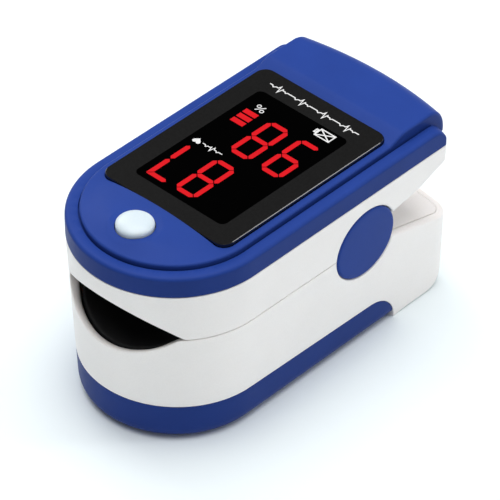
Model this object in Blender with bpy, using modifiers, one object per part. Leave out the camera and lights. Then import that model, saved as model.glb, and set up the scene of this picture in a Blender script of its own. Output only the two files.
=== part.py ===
"""Fingertip pulse oximeter: two sprung jaws, a display lid, a sliding battery door.

Lengths below are in millimetres, and the helpers turn them into metres. The origin is the
middle of the footprint on the surface it stands on. -Y is the finger mouth, +Y the squeeze
tail, +Z up. The upper jaw turns about the hinge pin, which runs along X.
"""

from math import asin, cos, pi, radians, sin, sqrt

import bmesh
import bpy
from mathutils import Matrix, Vector

MM = 0.001
GAP = 0.3
SEAM = 0.2
WALL = 1.3
REAR_WALL = 1.5

# Plan: a round front, straight sides and a bowed rear. The sides taper to the floor. A rear is
# its Y at the middle and the radius of its corners.
HALF_WIDTH = 15.5
HALF_WIDTH_AT_FLOOR = 14.27
FRONT_CENTRE_Y = -13.2
UPPER_REAR = (29.2, 0.5)
LOWER_REAR = (31.5, 3.4)
REAR_SAG = 1.95
FRONT_STEPS = 24
CORNER_STEPS = 4
BEYOND = 3.0

# Heights of the upper jaw.
COVER_Z = 27.84
RIM_TOP_Z = 31.2
RIM_ROUND = 0.9
TIER_INSET = 2.1
TIER_TOP_Z = 32.0
TIER_REAR = (27.0, 0.5)
TAIL_TOP_Z = 33.0
TAIL_HALF_WIDTH = 13.4
TAIL_FRONT_Y = 18.7
TAIL_REAR_Y = 30.4
TAIL_REAR_SAG = 1.48
TAIL_ROUND = 3.8
RIM_REAR_ROUND = 3.0
TAIL_RAMP = 1.2
COVER_CEILING_Z = 29.8

# Hinge.
HINGE_Y, HINGE_Z = 10.4, 19.2
PIN_R = 1.25
BORE_R = 1.4
PIN_HALF_LENGTH = 13.5
EAR_R = 4.4
LOWER_EAR_X = (12.3, 13.5)
UPPER_EAR_X = (10.3, 12.0)
CAP_R = 6.0
CAP_X = (13.85, 15.2)
CAP_RECESS_X = 13.6

# Parting lines of the jaws, as (Y, Z) in side view.
UPPER_EDGE = [(-31.2, 19.9), (HINGE_Y, 19.35), (13.2, 21.05), (21.7, 22.6), (30.2, 25.9)]
LOWER_EDGE = [(-31.2, 19.6), (HINGE_Y, 19.05), (13.2, 17.9), (32.5, 12.63)]
TAIL_PLATE_FRONT_Y = 15.3
TAIL_PLATE_THICK = 1.2
TAIL_SCREW_X, TAIL_SCREW_Y = 9.0, 18.0

# Finger mouth and the troughs of the two pads: arcs about lines along Y.
LOWER_LIP_R, LOWER_LIP_Z = 16.6, 15.6
UPPER_LIP_R, UPPER_LIP_Z = 15.9, 24.6
PAD_R = 15.0
LOWER_TROUGH_Z, UPPER_TROUGH_Z = 15.2, 24.0
LOWER_PAD_Z = (13.5, 19.2)
UPPER_PAD_Z = (19.8, 25.6)
PAD_REAR_Y = 4.0
FINGER_STOP_Y = 2.0
SENSOR_Y = -9.0

# Battery door: a tray that wraps the bottom edge, open at its rear.
DOOR_FLOOR = 1.2
DOOR_WALL = 1.2
DOOR_EDGE_FRONT_Z, DOOR_EDGE_REAR_Z = 6.7, 5.6
DOOR_SHOULDER_Y, DOOR_REAR_Y = 12.3, 17.9
BOTTOM_ROUND = 4.6

# Two AAA cells side by side.
CELL_R, CELL_LENGTH = 5.25, 44.5
NUB_R, NUB_LENGTH = 1.9, 1.0
CELL_X, CELL_Z = 5.45, 6.85
BAY_FRONT_Y, BAY_REAR_Y = -21.1, 25.4
PLATE_THICK = 0.3

# Display, boards and button.
LENS_HALF_WIDTH = 12.17
LENS_Y = (-15.85, 18.1)
LENS_Z = (31.25, 32.57)
LENS_CORNER_R = 1.8
LEDGE = 1.5
BOARD_Z = (26.6, 27.4)
BUTTON_Y = -21.05
BUTTON_R = 2.8
BUTTON_TOP_Z = 33.9

COLOURS = {
    "body_blue": ((0.025, 0.065, 0.37), 0.42, 0.0),
    "body_white": ((0.78, 0.79, 0.80), 0.45, 0.0),
    "button_white": ((0.74, 0.84, 0.87), 0.35, 0.0),
    "lens_black": ((0.012, 0.012, 0.014), 0.08, 0.0),
    "pad_black": ((0.012, 0.012, 0.013), 0.65, 0.0),
    "board_green": ((0.02, 0.16, 0.06), 0.45, 0.0),
    "chip_black": ((0.02, 0.02, 0.022), 0.5, 0.0),
    "display_black": ((0.01, 0.01, 0.012), 0.3, 0.0),
    "frame_white": ((0.66, 0.67, 0.68), 0.55, 0.0),
    "steel": ((0.62, 0.62, 0.63), 0.3, 1.0),
    "nickel": ((0.68, 0.66, 0.62), 0.25, 1.0),
    "cell_jacket": ((0.06, 0.07, 0.08), 0.35, 0.4),
    "flex_amber": ((0.55, 0.25, 0.04), 0.4, 0.0),
    "clear_lens": ((0.75, 0.72, 0.68), 0.1, 0.0),
}

MODEL = "pulse_oximeter"
CUTTERS = "cutters"


# ---------------------------------------------------------------- scene and materials

def clear_scene():
    for obj in list(bpy.data.objects):
        bpy.data.objects.remove(obj, do_unlink=True)


def make_collections():
    for name in (MODEL, CUTTERS):
        bpy.context.scene.collection.children.link(bpy.data.collections.new(name))
    bpy.data.collections[CUTTERS].hide_render = True


def material(name):
    made = bpy.data.materials.get(name)
    if made:
        return made
    colour, roughness, metallic = COLOURS[name]
    made = bpy.data.materials.new(name)
    made.use_nodes = True
    shader = made.node_tree.nodes["Principled BSDF"]
    shader.inputs["Base Color"].default_value = (*colour, 1.0)
    shader.inputs["Roughness"].default_value = roughness
    shader.inputs["Metallic"].default_value = metallic
    return made


def finish(obj, colour=None):
    """Puts a shape in the model with its material, or among the cutters without one."""
    for group in list(obj.users_collection):
        group.objects.unlink(obj)
    if colour:
        bpy.data.collections[MODEL].objects.link(obj)
        obj.data.materials.clear()
        obj.data.materials.append(material(colour))
    else:
        bpy.data.collections[CUTTERS].objects.link(obj)
        obj.hide_render = True
        obj.display_type = "WIRE"
    return obj


def hang_on(empty, *pieces):
    """Parents pieces to an empty on their joint's axis, leaving them where they are."""
    bpy.context.view_layer.update()
    for piece in pieces:
        piece.parent = empty
        piece.matrix_parent_inverse = empty.matrix_world.inverted()


def axis_empty(name, place):
    empty = bpy.data.objects.new(name, None)
    empty.location = Vector(place) * MM
    empty.empty_display_size = 5 * MM
    bpy.data.collections[MODEL].objects.link(empty)
    return empty


# ---------------------------------------------------------------- basic shapes

def mesh_object(name, work, place=(0, 0, 0)):
    bmesh.ops.recalc_face_normals(work, faces=work.faces)
    mesh = bpy.data.meshes.new(name)
    work.to_mesh(mesh)
    work.free()
    obj = bpy.data.objects.new(name, mesh)
    obj.location = Vector(place) * MM
    bpy.context.scene.collection.objects.link(obj)
    return obj


def box(name, low, high, colour=None):
    middle = [(a + b) / 2 for a, b in zip(low, high)]
    size = [(b - a) * MM for a, b in zip(low, high)]
    work = bmesh.new()
    bmesh.ops.create_cube(work, size=1.0, matrix=Matrix.Diagonal((*size, 1.0)))
    return finish(mesh_object(name, work, middle), colour)


def rod(name, start, end, radius, colour=None, segments=32, end_radius=None):
    """A cylinder or cone between two points."""
    start, end = Vector(start), Vector(end)
    along = end - start
    turn = along.to_track_quat("Z", "Y").to_matrix().to_4x4()
    work = bmesh.new()
    bmesh.ops.create_cone(
        work, cap_ends=True, segments=segments, radius1=radius * MM,
        radius2=(radius if end_radius is None else end_radius) * MM,
        depth=along.length * MM, matrix=turn,
    )
    return finish(mesh_object(name, work, (start + end) / 2), colour)


def turned(name, profile, place, direction, colour=None, segments=40):
    """Turns (radius, height) points, listed from the top down, about a line along direction."""
    mesh = bpy.data.meshes.new(name)
    points = [(r * MM, 0.0, h * MM) for r, h in profile]
    mesh.from_pydata(points, [(i, i + 1) for i in range(len(points) - 1)], [])
    obj = bpy.data.objects.new(name, mesh)
    bpy.context.scene.collection.objects.link(obj)
    obj.location = Vector(place) * MM
    obj.rotation_euler = Vector(direction).to_track_quat("Z", "Y").to_euler()
    screw = obj.modifiers.new("turn", "SCREW")
    screw.steps = screw.render_steps = segments
    screw.use_merge_vertices = True
    screw.merge_threshold = 0.00001
    return finish(obj, colour)


def as_mesh(curve_object):
    """Swaps a curve for its mesh, with the caps welded on, so that it can be cut or can cut."""
    bpy.context.view_layer.update()
    graph = bpy.context.evaluated_depsgraph_get()
    mesh = bpy.data.meshes.new_from_object(curve_object.evaluated_get(graph))
    work = bmesh.new()
    work.from_mesh(mesh)
    bmesh.ops.remove_doubles(work, verts=work.verts, dist=0.000001)
    bmesh.ops.recalc_face_normals(work, faces=work.faces)
    work.to_mesh(mesh)
    work.free()
    solid = bpy.data.objects.new(curve_object.name + "_mesh", mesh)
    solid.matrix_world = curve_object.matrix_world
    bpy.context.scene.collection.objects.link(solid)
    name = curve_object.name
    bpy.data.objects.remove(curve_object, do_unlink=True)
    solid.name = name
    return solid


def flat_curve(name, outline, thick):
    data = bpy.data.curves.new(name, "CURVE")
    data.dimensions = "2D"
    data.fill_mode = "BOTH"
    data.extrude = thick / 2 * MM
    line = data.splines.new("POLY")
    line.points.add(len(outline) - 1)
    for point, (u, v) in zip(line.points, outline):
        point.co = (u * MM, v * MM, 0.0, 1.0)
    line.use_cyclic_u = True
    obj = bpy.data.objects.new(name, data)
    bpy.context.scene.collection.objects.link(obj)
    return obj


def plate(name, outline, low, high, colour=None):
    """An outline in plan, from one height to another."""
    obj = flat_curve(name, outline, high - low)
    obj.location.z = (low + high) / 2 * MM
    return finish(as_mesh(obj), colour)


def side_plate(name, outline, low_x, high_x, colour=None):
    """A (Y, Z) outline, from one X to another."""
    obj = flat_curve(name, outline, high_x - low_x)
    obj.matrix_world = Matrix(((0, 0, 1, (low_x + high_x) / 2 * MM), (1, 0, 0, 0), (0, 1, 0, 0), (0, 0, 0, 1)))
    return finish(as_mesh(obj), colour)


def wire(name, points, radius, colour):
    data = bpy.data.curves.new(name, "CURVE")
    data.dimensions = "3D"
    data.bevel_depth = radius * MM
    data.bevel_resolution = 2
    data.use_fill_caps = True
    line = data.splines.new("POLY")
    line.points.add(len(points) - 1)
    for point, place in zip(line.points, points):
        point.co = (*(Vector(place) * MM), 1.0)
    obj = bpy.data.objects.new(name, data)
    bpy.context.scene.collection.objects.link(obj)
    return finish(obj, colour)


def loft(name, sections, colour=None):
    """A closed solid through (height, outline) sections whose outlines have equal point counts."""
    work = bmesh.new()
    rings = [[work.verts.new((x * MM, y * MM, z * MM)) for x, y in outline] for z, outline in sections]
    count = len(rings[0])
    for below, above in zip(rings, rings[1:]):
        for i in range(count):
            j = (i + 1) % count
            work.faces.new((below[i], below[j], above[j], above[i]))
    work.faces.new(rings[0][::-1])
    work.faces.new(rings[-1])
    return finish(mesh_object(name, work), colour)


def boolean(obj, other, operation):
    step = obj.modifiers.new(operation.lower() + "_" + other.name, "BOOLEAN")
    step.operation = operation
    step.object = other
    step.solver = "EXACT"


def cut(obj, *cutters):
    for cutter in cutters:
        boolean(obj, cutter, "DIFFERENCE")


def join(obj, *others):
    for other in others:
        boolean(obj, other, "UNION")


def trim_to(obj, other):
    boolean(obj, other, "INTERSECT")


def bevel(obj, width, segments=2, angle=40):
    step = obj.modifiers.new("edges", "BEVEL")
    step.width = width * MM
    step.segments = segments
    step.limit_method = "ANGLE"
    step.angle_limit = radians(angle)


def smooth(*pieces):
    for piece in pieces:
        piece.data.shade_smooth()
        piece.data.set_sharp_from_angle(angle=radians(35))


# ---------------------------------------------------------------- outlines

def arc(centre, radius, start, end, steps):
    """Points on an arc, with angles in degrees from the first axis to the second."""
    angles = [radians(start + (end - start) * i / steps) for i in range(steps + 1)]
    return [(centre[0] + radius * cos(a), centre[1] + radius * sin(a)) for a in angles]


def half_width_at(z):
    share = min(max(z / COVER_Z, 0.0), 1.0)
    return HALF_WIDTH_AT_FLOOR + (HALF_WIDTH - HALF_WIDTH_AT_FLOOR) * share


def jaw_outline(half_width, rear, inset=0.0, rear_inset=None):
    """The plan of a jaw: a half circle at the front, straight sides and a bowed rear."""
    side = half_width - inset
    rear_y = rear[0] - (inset if rear_inset is None else rear_inset)
    corner = max(rear[1] - inset, 0.5)
    front = arc((0, FRONT_CENTRE_Y), side, 180, 360, FRONT_STEPS)
    back = arc((side - corner, rear_y - corner), corner, 0, 90, CORNER_STEPS)
    back += [(share * (side - corner), rear_y) for share in (0.6, 0.3, 0, -0.3, -0.6)]
    back += arc((corner - side, rear_y - corner), corner, 90, 180, CORNER_STEPS)
    return front + [(x, y - REAR_SAG * (x / HALF_WIDTH) ** 2) for x, y in back]


def jaw_solid(name, rear, low, high, inset=0.0, rear_inset=None, colour=None):
    """The jaw's tapered plan between two heights, drawn in by inset."""
    heights = [low] + [z for z in (COVER_Z,) if low < z < high] + [high]
    sections = [(z, jaw_outline(half_width_at(z), rear, inset, rear_inset)) for z in heights]
    return loft(name, sections, colour)


def rounded_rectangle(low, high, radius, steps=4):
    corners = [(high[0] - radius, low[1] + radius, -90), (high[0] - radius, high[1] - radius, 0),
               (low[0] + radius, high[1] - radius, 90), (low[0] + radius, low[1] + radius, 180)]
    points = []
    for x, y, start in corners:
        points += arc((x, y), radius, start, start + 90, steps)
    return points


def edge_z(edge, y):
    """The height of a parting line at one Y."""
    for (y0, z0), (y1, z1) in zip(edge, edge[1:]):
        if y <= y1:
            return z0 + (z1 - z0) * (y - y0) / (y1 - y0)
    return edge[-1][1]


def door_edge(shift):
    """Top and rear edge of the door's band in side view, moved outward by shift."""
    rise, run = DOOR_EDGE_REAR_Z, DOOR_REAR_Y - DOOR_SHOULDER_Y
    front = (-HALF_WIDTH + FRONT_CENTRE_Y - BEYOND, DOOR_EDGE_FRONT_Z + shift)
    round_end = [
        (DOOR_SHOULDER_Y + (run + shift) * sin(radians(a)), (rise + shift) * cos(radians(a)))
        for a in range(0, 90, 15)
    ]
    return [front] + round_end + [(DOOR_REAR_Y + shift, -1)]


# ---------------------------------------------------------------- shared cutters

def lip_cutter(name, radius, lip_z, above):
    """The round cut that makes a jaw's half of the mouth; its axis is above or below the lip."""
    z = lip_z + radius if above else lip_z - radius
    return rod(name, (0, -32, z), (0, -11, z), radius, segments=96)


def hinge_cutters():
    """Side recesses for the caps, the cove round the coil, and the pin's bore."""
    recesses = [
        rod(f"cap_recess_{side}", (sign * CAP_RECESS_X, HINGE_Y, HINGE_Z),
            (sign * 18, HINGE_Y, HINGE_Z), CAP_R + GAP, segments=48)
        for side, sign in (("left", -1), ("right", 1))
    ]
    bore = rod("pin_bore", (-18, HINGE_Y, HINGE_Z), (18, HINGE_Y, HINGE_Z), BORE_R, segments=24)
    return recesses, bore


def ear(name, span_x, sign, reach_z, shelf_z, shelf_x):
    """A hinge ear: a round end on the axis, a web to reach_z and a foot that meets the side wall."""
    start = -60 if reach_z < HINGE_Z else 120
    round_end = arc((HINGE_Y, HINGE_Z), EAR_R, start, start + 300, 20)
    web = [(round_end[-1][0], reach_z), (round_end[0][0], reach_z)]
    near, far = sorted(sign * x for x in span_x)
    blade = side_plate(name, round_end + web, near, far)
    foot_near, foot_far = sorted((sign * sum(span_x) / 2, sign * shelf_x))
    foot = box(name + "_foot", (foot_near, HINGE_Y - 3, shelf_z[0]), (foot_far, HINGE_Y + 3, shelf_z[1]))
    join(blade, foot)
    return blade


# ---------------------------------------------------------------- upper jaw

def make_upper_case(recesses, bore):
    case = jaw_solid("upper_case", UPPER_REAR, 17.0, COVER_Z - SEAM, colour="body_white")
    cavity = jaw_solid("upper_case_cavity", UPPER_REAR, 15.0, 30.0, WALL, REAR_WALL)
    above = UPPER_EDGE + [(UPPER_EDGE[-1][0], 29.0), (UPPER_EDGE[0][0], 29.0)]
    profile = side_plate("upper_case_profile", above, -18, 18)
    cut(case, cavity)
    trim_to(case, profile)
    cut(case, lip_cutter("upper_lip", UPPER_LIP_R, UPPER_LIP_Z, above=False))
    for side, sign in (("left", -1), ("right", 1)):
        join(case, ear(f"upper_ear_{side}", UPPER_EAR_X, sign, 26.0, (24.8, 26.2), 14.6))
    cut(case, bore, *recesses)
    return case


def tail_outline(rear_y):
    """The plan of the raised plateau, whose rear face bows outward."""
    bow_r = (TAIL_HALF_WIDTH ** 2 + TAIL_REAR_SAG ** 2) / (2 * TAIL_REAR_SAG)
    reach = asin(TAIL_HALF_WIDTH / bow_r) * 180 / pi
    rear = arc((0, rear_y - bow_r), bow_r, 90 - reach, 90 + reach, 12)
    return [(TAIL_HALF_WIDTH, TAIL_FRONT_Y)] + rear + [(-TAIL_HALF_WIDTH, TAIL_FRONT_Y)]


def tail_block():
    """The raised plateau at the squeeze end, round along its upper rear edge, with a front ramp."""
    low = TAIL_TOP_Z - TAIL_ROUND
    sections = [(COVER_Z + 0.3, tail_outline(TAIL_REAR_Y))]
    sections += [
        (low + TAIL_ROUND * sin(radians(a)), tail_outline(TAIL_REAR_Y - TAIL_ROUND * (1 - cos(radians(a)))))
        for a in range(0, 91, 15)
    ]
    block = loft("tail_block", sections)
    ramp = [(TAIL_FRONT_Y - 1, TIER_TOP_Z + 0.2), (TAIL_FRONT_Y + TAIL_RAMP, TAIL_TOP_Z + 0.2),
            (TAIL_FRONT_Y - 1, TAIL_TOP_Z + 0.2)]
    cut(block, side_plate("tail_ramp", ramp, -16, 16))
    return block


def make_top_cover():
    def rim(inset):
        return jaw_outline(HALF_WIDTH, UPPER_REAR, inset)

    turn = RIM_ROUND
    cover = loft("top_cover", [
        (COVER_Z, rim(0)), (RIM_TOP_Z - turn, rim(0)),
        (RIM_TOP_Z - turn * 0.35, rim(turn * 0.25)), (RIM_TOP_Z, rim(turn)),
    ], "body_blue")
    round_r, rear_y = RIM_REAR_ROUND, UPPER_REAR[0]
    profile = [(-35, COVER_Z - 1), (rear_y + 0.01, COVER_Z - 1)]
    profile += arc((rear_y - round_r, RIM_TOP_Z - round_r), round_r + 0.01, 0, 90, 6)
    profile += [(-35, RIM_TOP_Z + 0.01)]
    trim_to(cover, side_plate("rim_profile", profile, -18, 18))
    tier = loft("tier", [
        (COVER_CEILING_Z, jaw_outline(HALF_WIDTH, TIER_REAR, TIER_INSET)),
        (TIER_TOP_Z - 0.35, jaw_outline(HALF_WIDTH, TIER_REAR, TIER_INSET)),
        (TIER_TOP_Z, jaw_outline(HALF_WIDTH, TIER_REAR, TIER_INSET + 0.35)),
    ])
    join(cover, tier, tail_block())
    cavity = loft("cover_cavity", [
        (z, jaw_outline(HALF_WIDTH, UPPER_REAR, WALL, REAR_WALL)) for z in (COVER_Z - 2, COVER_CEILING_Z)
    ])
    recess = plate("lens_recess", rounded_rectangle(
        (-LENS_HALF_WIDTH - GAP, LENS_Y[0] - GAP), (LENS_HALF_WIDTH + GAP, LENS_Y[1] + GAP),
        LENS_CORNER_R + GAP), LENS_Z[0] - GAP, 36)
    opening = plate("display_opening", rounded_rectangle(
        (LEDGE - LENS_HALF_WIDTH, LENS_Y[0] + LEDGE), (LENS_HALF_WIDTH - LEDGE, LENS_Y[1] - LEDGE),
        1.0), 27, 36)
    hole = rod("button_hole", (0, BUTTON_Y, 27), (0, BUTTON_Y, 36), BUTTON_R + GAP)
    cut(cover, cavity, recess, opening, hole)
    return cover


def make_display():
    window = plate("display_window", rounded_rectangle(
        (-LENS_HALF_WIDTH, LENS_Y[0]), (LENS_HALF_WIDTH, LENS_Y[1]), LENS_CORNER_R),
        *LENS_Z, colour="lens_black")
    bevel(window, 0.25)
    side, front, rear = LENS_HALF_WIDTH - LEDGE - GAP, LENS_Y[0] + LEDGE + GAP, LENS_Y[1] - LEDGE - GAP
    module = box("display_module", (-side, front, 28.2), (side, rear, LENS_Z[0] - GAP), "display_black")
    bevel(module, 0.3, 1)
    return window, module


def make_upper_boards():
    board = plate("main_board", jaw_outline(HALF_WIDTH, UPPER_REAR, WALL + 0.5, REAR_WALL + 0.5),
                  *BOARD_Z, colour="board_green")
    chip = box("control_chip", (-3.5, 18.5, BOARD_Z[1] + 0.1), (3.5, 25.0, BOARD_Z[1] + 1.1), "chip_black")
    bevel(chip, 0.15, 1)
    switch = box("tact_switch", (-2.2, BUTTON_Y - 2.2, BOARD_Z[1] + 0.1), (2.2, BUTTON_Y + 2.2, 28.2), "steel")
    join(switch, rod("switch_plunger", (0, BUTTON_Y, 28.0), (0, BUTTON_Y, 28.5), 1.0, segments=20))
    emitter_board = box("emitter_board", (-4.5, SENSOR_Y - 5, 25.3), (4.5, SENSOR_Y + 5, 25.9), "board_green")
    led = turned("emitter_led", [(0, 0.5), (0.8, 0.4), (1.4, 0), (1.4, -0.5), (0, -0.5)],
                 (0, SENSOR_Y, 24.7), (0, 0, -1), "clear_lens", 24)
    return board, chip, switch, emitter_board, led


def make_power_button():
    dome, flange_z = BUTTON_TOP_Z - 0.8, (29.0, 29.5)
    profile = [(0, BUTTON_TOP_Z), (1.2, BUTTON_TOP_Z - 0.12), (2.1, BUTTON_TOP_Z - 0.38),
               (2.6, dome), (BUTTON_R, dome - 0.5), (BUTTON_R, flange_z[1]), (3.6, flange_z[1]),
               (3.6, flange_z[0]), (0, flange_z[0])]
    profile = [(r, z - BUTTON_TOP_Z) for r, z in profile]
    return turned("power_button", profile, (0, BUTTON_Y, BUTTON_TOP_Z), (0, 0, 1), "button_white", 36)


# ---------------------------------------------------------------- finger pads and tail plates

def make_pad(name, z_range, trough_z, trough_above, pocket_z, rear_y):
    low, high = z_range
    pad = jaw_solid(name, UPPER_REAR, low, high, WALL + GAP, colour="pad_black")
    z = trough_z + (PAD_R if trough_above else -PAD_R)
    trim_to(pad, box(name + "_keep", (-18, -32, low - 1), (18, rear_y, high + 1)))
    cut(pad, rod(name + "_trough", (0, -32, z), (0, FINGER_STOP_Y, z), PAD_R, segments=96))
    cut(pad, box(name + "_pocket", (-5, SENSOR_Y - 5.5, pocket_z[0]), (5, rear_y + 1, pocket_z[1])))
    cut(pad, rod(name + "_sensor_hole", (0, SENSOR_Y, low - 2), (0, SENSOR_Y, high + 2), 1.8, segments=24))
    return pad


def make_tail_plate(name, edge, rear, inward):
    """The sloped plate that closes a jaw's tail between its side walls."""
    bends = [y for y, _ in edge if TAIL_PLATE_FRONT_Y < y < rear[0]]
    face = [(y, edge_z(edge, y) + inward * 0.1) for y in [TAIL_PLATE_FRONT_Y] + bends + [rear[0] + 0.9]]
    back = [(y, z + inward * TAIL_PLATE_THICK) for y, z in reversed(face)]
    tail = jaw_solid(name, rear, 8.0, 27.5, WALL + 0.15, REAR_WALL + 0.15, "body_white")
    trim_to(tail, side_plate(name + "_profile", face + back, -17, 17))
    return tail


def make_tail_screws(tail_plate):
    """Two screws up through the upper tail plate, with their heads in its underside."""
    slope = (UPPER_EDGE[3][1] - UPPER_EDGE[2][1]) / (UPPER_EDGE[3][0] - UPPER_EDGE[2][0])
    up = Vector((0, -slope, 1)).normalized()
    screws = []
    for side, sign in (("left", -1), ("right", 1)):
        foot = Vector((sign * TAIL_SCREW_X, TAIL_SCREW_Y, edge_z(UPPER_EDGE, TAIL_SCREW_Y) + 0.25))
        head_r, shank_r = 1.35, 0.75
        screw = turned(f"tail_screw_{side}", [(0, 2.9), (shank_r, 2.9), (shank_r, 0.55),
                                              (head_r, 0.55), (head_r, 0), (0, 0)],
                       foot, up, "steel", 24)
        slot = box(f"tail_screw_slot_{side}", (-1, -0.2, -0.3), (1, 0.2, 0.25))
        slot.location = foot * MM
        slot.rotation_euler = up.to_track_quat("Z", "Y").to_euler()
        cut(screw, slot)
        cut(tail_plate, rod(f"screw_seat_{side}", foot - up, foot + up * 0.7, head_r + 0.25, segments=24),
            rod(f"screw_way_{side}", foot - up, foot + up * 3, shank_r + 0.2, segments=20))
        screws.append(screw)
    return screws


# ---------------------------------------------------------------- lower jaw

def make_lower_case(recesses, bore):
    case = jaw_solid("lower_case", LOWER_REAR, 0.0, 21.0, colour="body_white")
    cavity = jaw_solid("lower_case_cavity", LOWER_REAR, REAR_WALL, 23.0, WALL, REAR_WALL)
    round_y = LOWER_REAR[0] - BOTTOM_ROUND
    outline = door_edge(SEAM) + [(round_y, -1)]
    outline += arc((round_y, BOTTOM_ROUND), BOTTOM_ROUND, -75, -15, 6)
    outline += [(LOWER_EDGE[-1][0], BOTTOM_ROUND)] + LOWER_EDGE[::-1]
    cut(case, cavity)
    trim_to(case, side_plate("lower_case_profile", outline, -18, 18))
    cut(case, lip_cutter("lower_lip", LOWER_LIP_R, LOWER_LIP_Z, above=True))
    for side, sign in (("left", -1), ("right", 1)):
        join(case, ear(f"lower_ear_{side}", LOWER_EAR_X, sign, 9.5, (9.0, 12.6), 14.3))
    cut(case, bore, *recesses)
    return case


def make_battery_door():
    door = jaw_solid("battery_door", LOWER_REAR, 0.0, 9.0, colour="body_blue")
    outline = [(-35, -1)] + door_edge(0)[::-1]
    cavity = jaw_solid("door_cavity", (LOWER_REAR[0] + 5, LOWER_REAR[1]), DOOR_FLOOR, 12.0, DOOR_WALL)
    cut(door, cavity)
    trim_to(door, side_plate("door_profile", outline, -18, 18))
    for side, sign in (("left", -1), ("right", 1)):
        near, far = sorted((sign * 12.35, sign * 13.6))
        join(door, box(f"door_rail_{side}", (near, -10, 3.4), (far, 12, 4.2)))
    return door


def make_inner_frame():
    """The tray that holds the cells from above, with rails that the door slides on."""
    frame = box("inner_frame", (-11.9, -18.6, 12.4), (11.9, 23.8, 13.2), "frame_white")
    for side, sign in (("left", -1), ("right", 1)):
        near, far = sorted((sign * 11.2, sign * 11.95))
        join(frame, box(f"bay_wall_{side}", (near, -14.0, 2.2), (far, 26.6, 12.6)))
        near, far = sorted((sign * 11.5, sign * 12.9))
        join(frame, box(f"bay_rail_{side}", (near, -10, 2.2), (far, 17, 3.0)))
    join(frame, box("bay_front_wall", (-9.2, BAY_FRONT_Y - 1.1, 1.8), (9.2, BAY_FRONT_Y - PLATE_THICK - 0.1, 13.1)),
         box("bay_rear_wall", (-11.6, BAY_REAR_Y + PLATE_THICK + 0.1, 2.2), (11.6, 26.6, 12.6)),
         box("bay_front_deck", (-9.2, BAY_FRONT_Y - 0.9, 12.42), (9.2, -18, 13.18)))
    return frame


def make_cells():
    """Two cells with opposite polarity, their springs at the flat ends, and the contact plates."""
    pieces = []
    for side, sign in (("left", -1), ("right", 1)):
        nub_end = BAY_FRONT_Y + GAP if sign < 0 else BAY_REAR_Y - GAP
        towards = Vector((0, sign, 0))
        profile = [(0, 0), (NUB_R, 0), (NUB_R, -NUB_LENGTH), (CELL_R - 0.5, -NUB_LENGTH),
                   (CELL_R, -NUB_LENGTH - 0.5), (CELL_R, 0.4 - CELL_LENGTH),
                   (CELL_R - 0.4, -CELL_LENGTH), (0, -CELL_LENGTH)]
        pieces.append(turned(f"battery_{side}", profile, (sign * CELL_X, nub_end, CELL_Z), towards,
                             "cell_jacket", 36))
        flat_end = nub_end - sign * CELL_LENGTH
        plate_face = BAY_REAR_Y if sign < 0 else BAY_FRONT_Y
        pieces.append(cone_spring(f"battery_spring_{side}", (sign * CELL_X, CELL_Z),
                                  plate_face + sign * 0.35, flat_end - sign * 0.35))
    front = box("contact_plate_front", (-9.0, BAY_FRONT_Y - PLATE_THICK, 2.6), (9.0, BAY_FRONT_Y, 11.0), "nickel")
    pieces.append(front)
    for side, sign in (("left", -1), ("right", 1)):
        near, far = sorted((sign * 1.2, sign * 9.8))
        pieces.append(box(f"contact_plate_rear_{side}", (near, BAY_REAR_Y, 2.6),
                          (far, BAY_REAR_Y + PLATE_THICK, 11.0), "nickel"))
    return pieces


def cone_spring(name, centre, wide_y, narrow_y, turns=2.5, per_turn=16):
    """A flat conical spring along Y, wide at the contact plate."""
    count = int(turns * per_turn)
    points = []
    for i in range(count + 1):
        share = i / count
        angle = 2 * pi * turns * share
        radius = 3.6 + (1.5 - 3.6) * share
        y = wide_y + (narrow_y - wide_y) * share
        points.append((centre[0] + radius * cos(angle), y, centre[1] + radius * sin(angle)))
    return wire(name, points, 0.22, "steel")


def make_sensor():
    board = box("sensor_board", (-4.5, SENSOR_Y - 5, 13.5), (4.5, SENSOR_Y + 5, 14.1), "board_green")
    diode = box("photodiode", (-1.2, SENSOR_Y - 1.2, 14.2), (1.2, SENSOR_Y + 1.2, 14.9), "chip_black")
    bevel(diode, 0.12, 1)
    return board, diode


# ---------------------------------------------------------------- hinge, springs and ribbon

def torsion_spring(name, sign, coil_x=(4.2, 8.0), coil_r=2.3, wire_r=0.35, turns=4, per_turn=16):
    """A coil round the pin with an arm into each tail, which it pushes apart."""
    rise, fall = 0.38, -0.36
    start = 90 + asin(rise / sqrt(1 + rise ** 2)) * 180 / pi
    end = 270 + asin(fall / sqrt(1 + fall ** 2)) * 180 / pi + 360 * turns
    count = int((end - start) / 360 * per_turn)
    points = []
    for i in range(count + 1):
        share = i / count
        angle = radians(start + (end - start) * share)
        x = coil_x[0] + (coil_x[1] - coil_x[0]) * share
        points.append((sign * x, HINGE_Y + coil_r * cos(angle), HINGE_Z + coil_r * sin(angle)))
    arm_up, arm_down = 9.0, 8.0
    first, last = points[0], points[-1]
    points.insert(0, (first[0], first[1] + arm_up, first[2] + rise * arm_up))
    points.append((last[0], last[1] + arm_down, last[2] + fall * arm_down))
    return wire(name, points, wire_r, "steel")


def make_hinge():
    pin = rod("hinge_pin", (-PIN_HALF_LENGTH, HINGE_Y, HINGE_Z), (PIN_HALF_LENGTH, HINGE_Y, HINGE_Z),
              PIN_R, "steel", 24)
    springs = [torsion_spring(f"torsion_spring_{side}", sign) for side, sign in (("left", -1), ("right", 1))]
    caps = []
    for side, sign in (("left", -1), ("right", 1)):
        depth = CAP_X[1] - CAP_X[0]
        profile = [(0, 0), (CAP_R - 0.3, 0), (CAP_R, -0.3), (CAP_R, -depth), (0, -depth)]
        caps.append(turned(f"hinge_cap_{side}", profile, (sign * CAP_X[1], HINGE_Y, HINGE_Z),
                           (sign, 0, 0), "body_blue", 48))
    return pin, springs, caps


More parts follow.
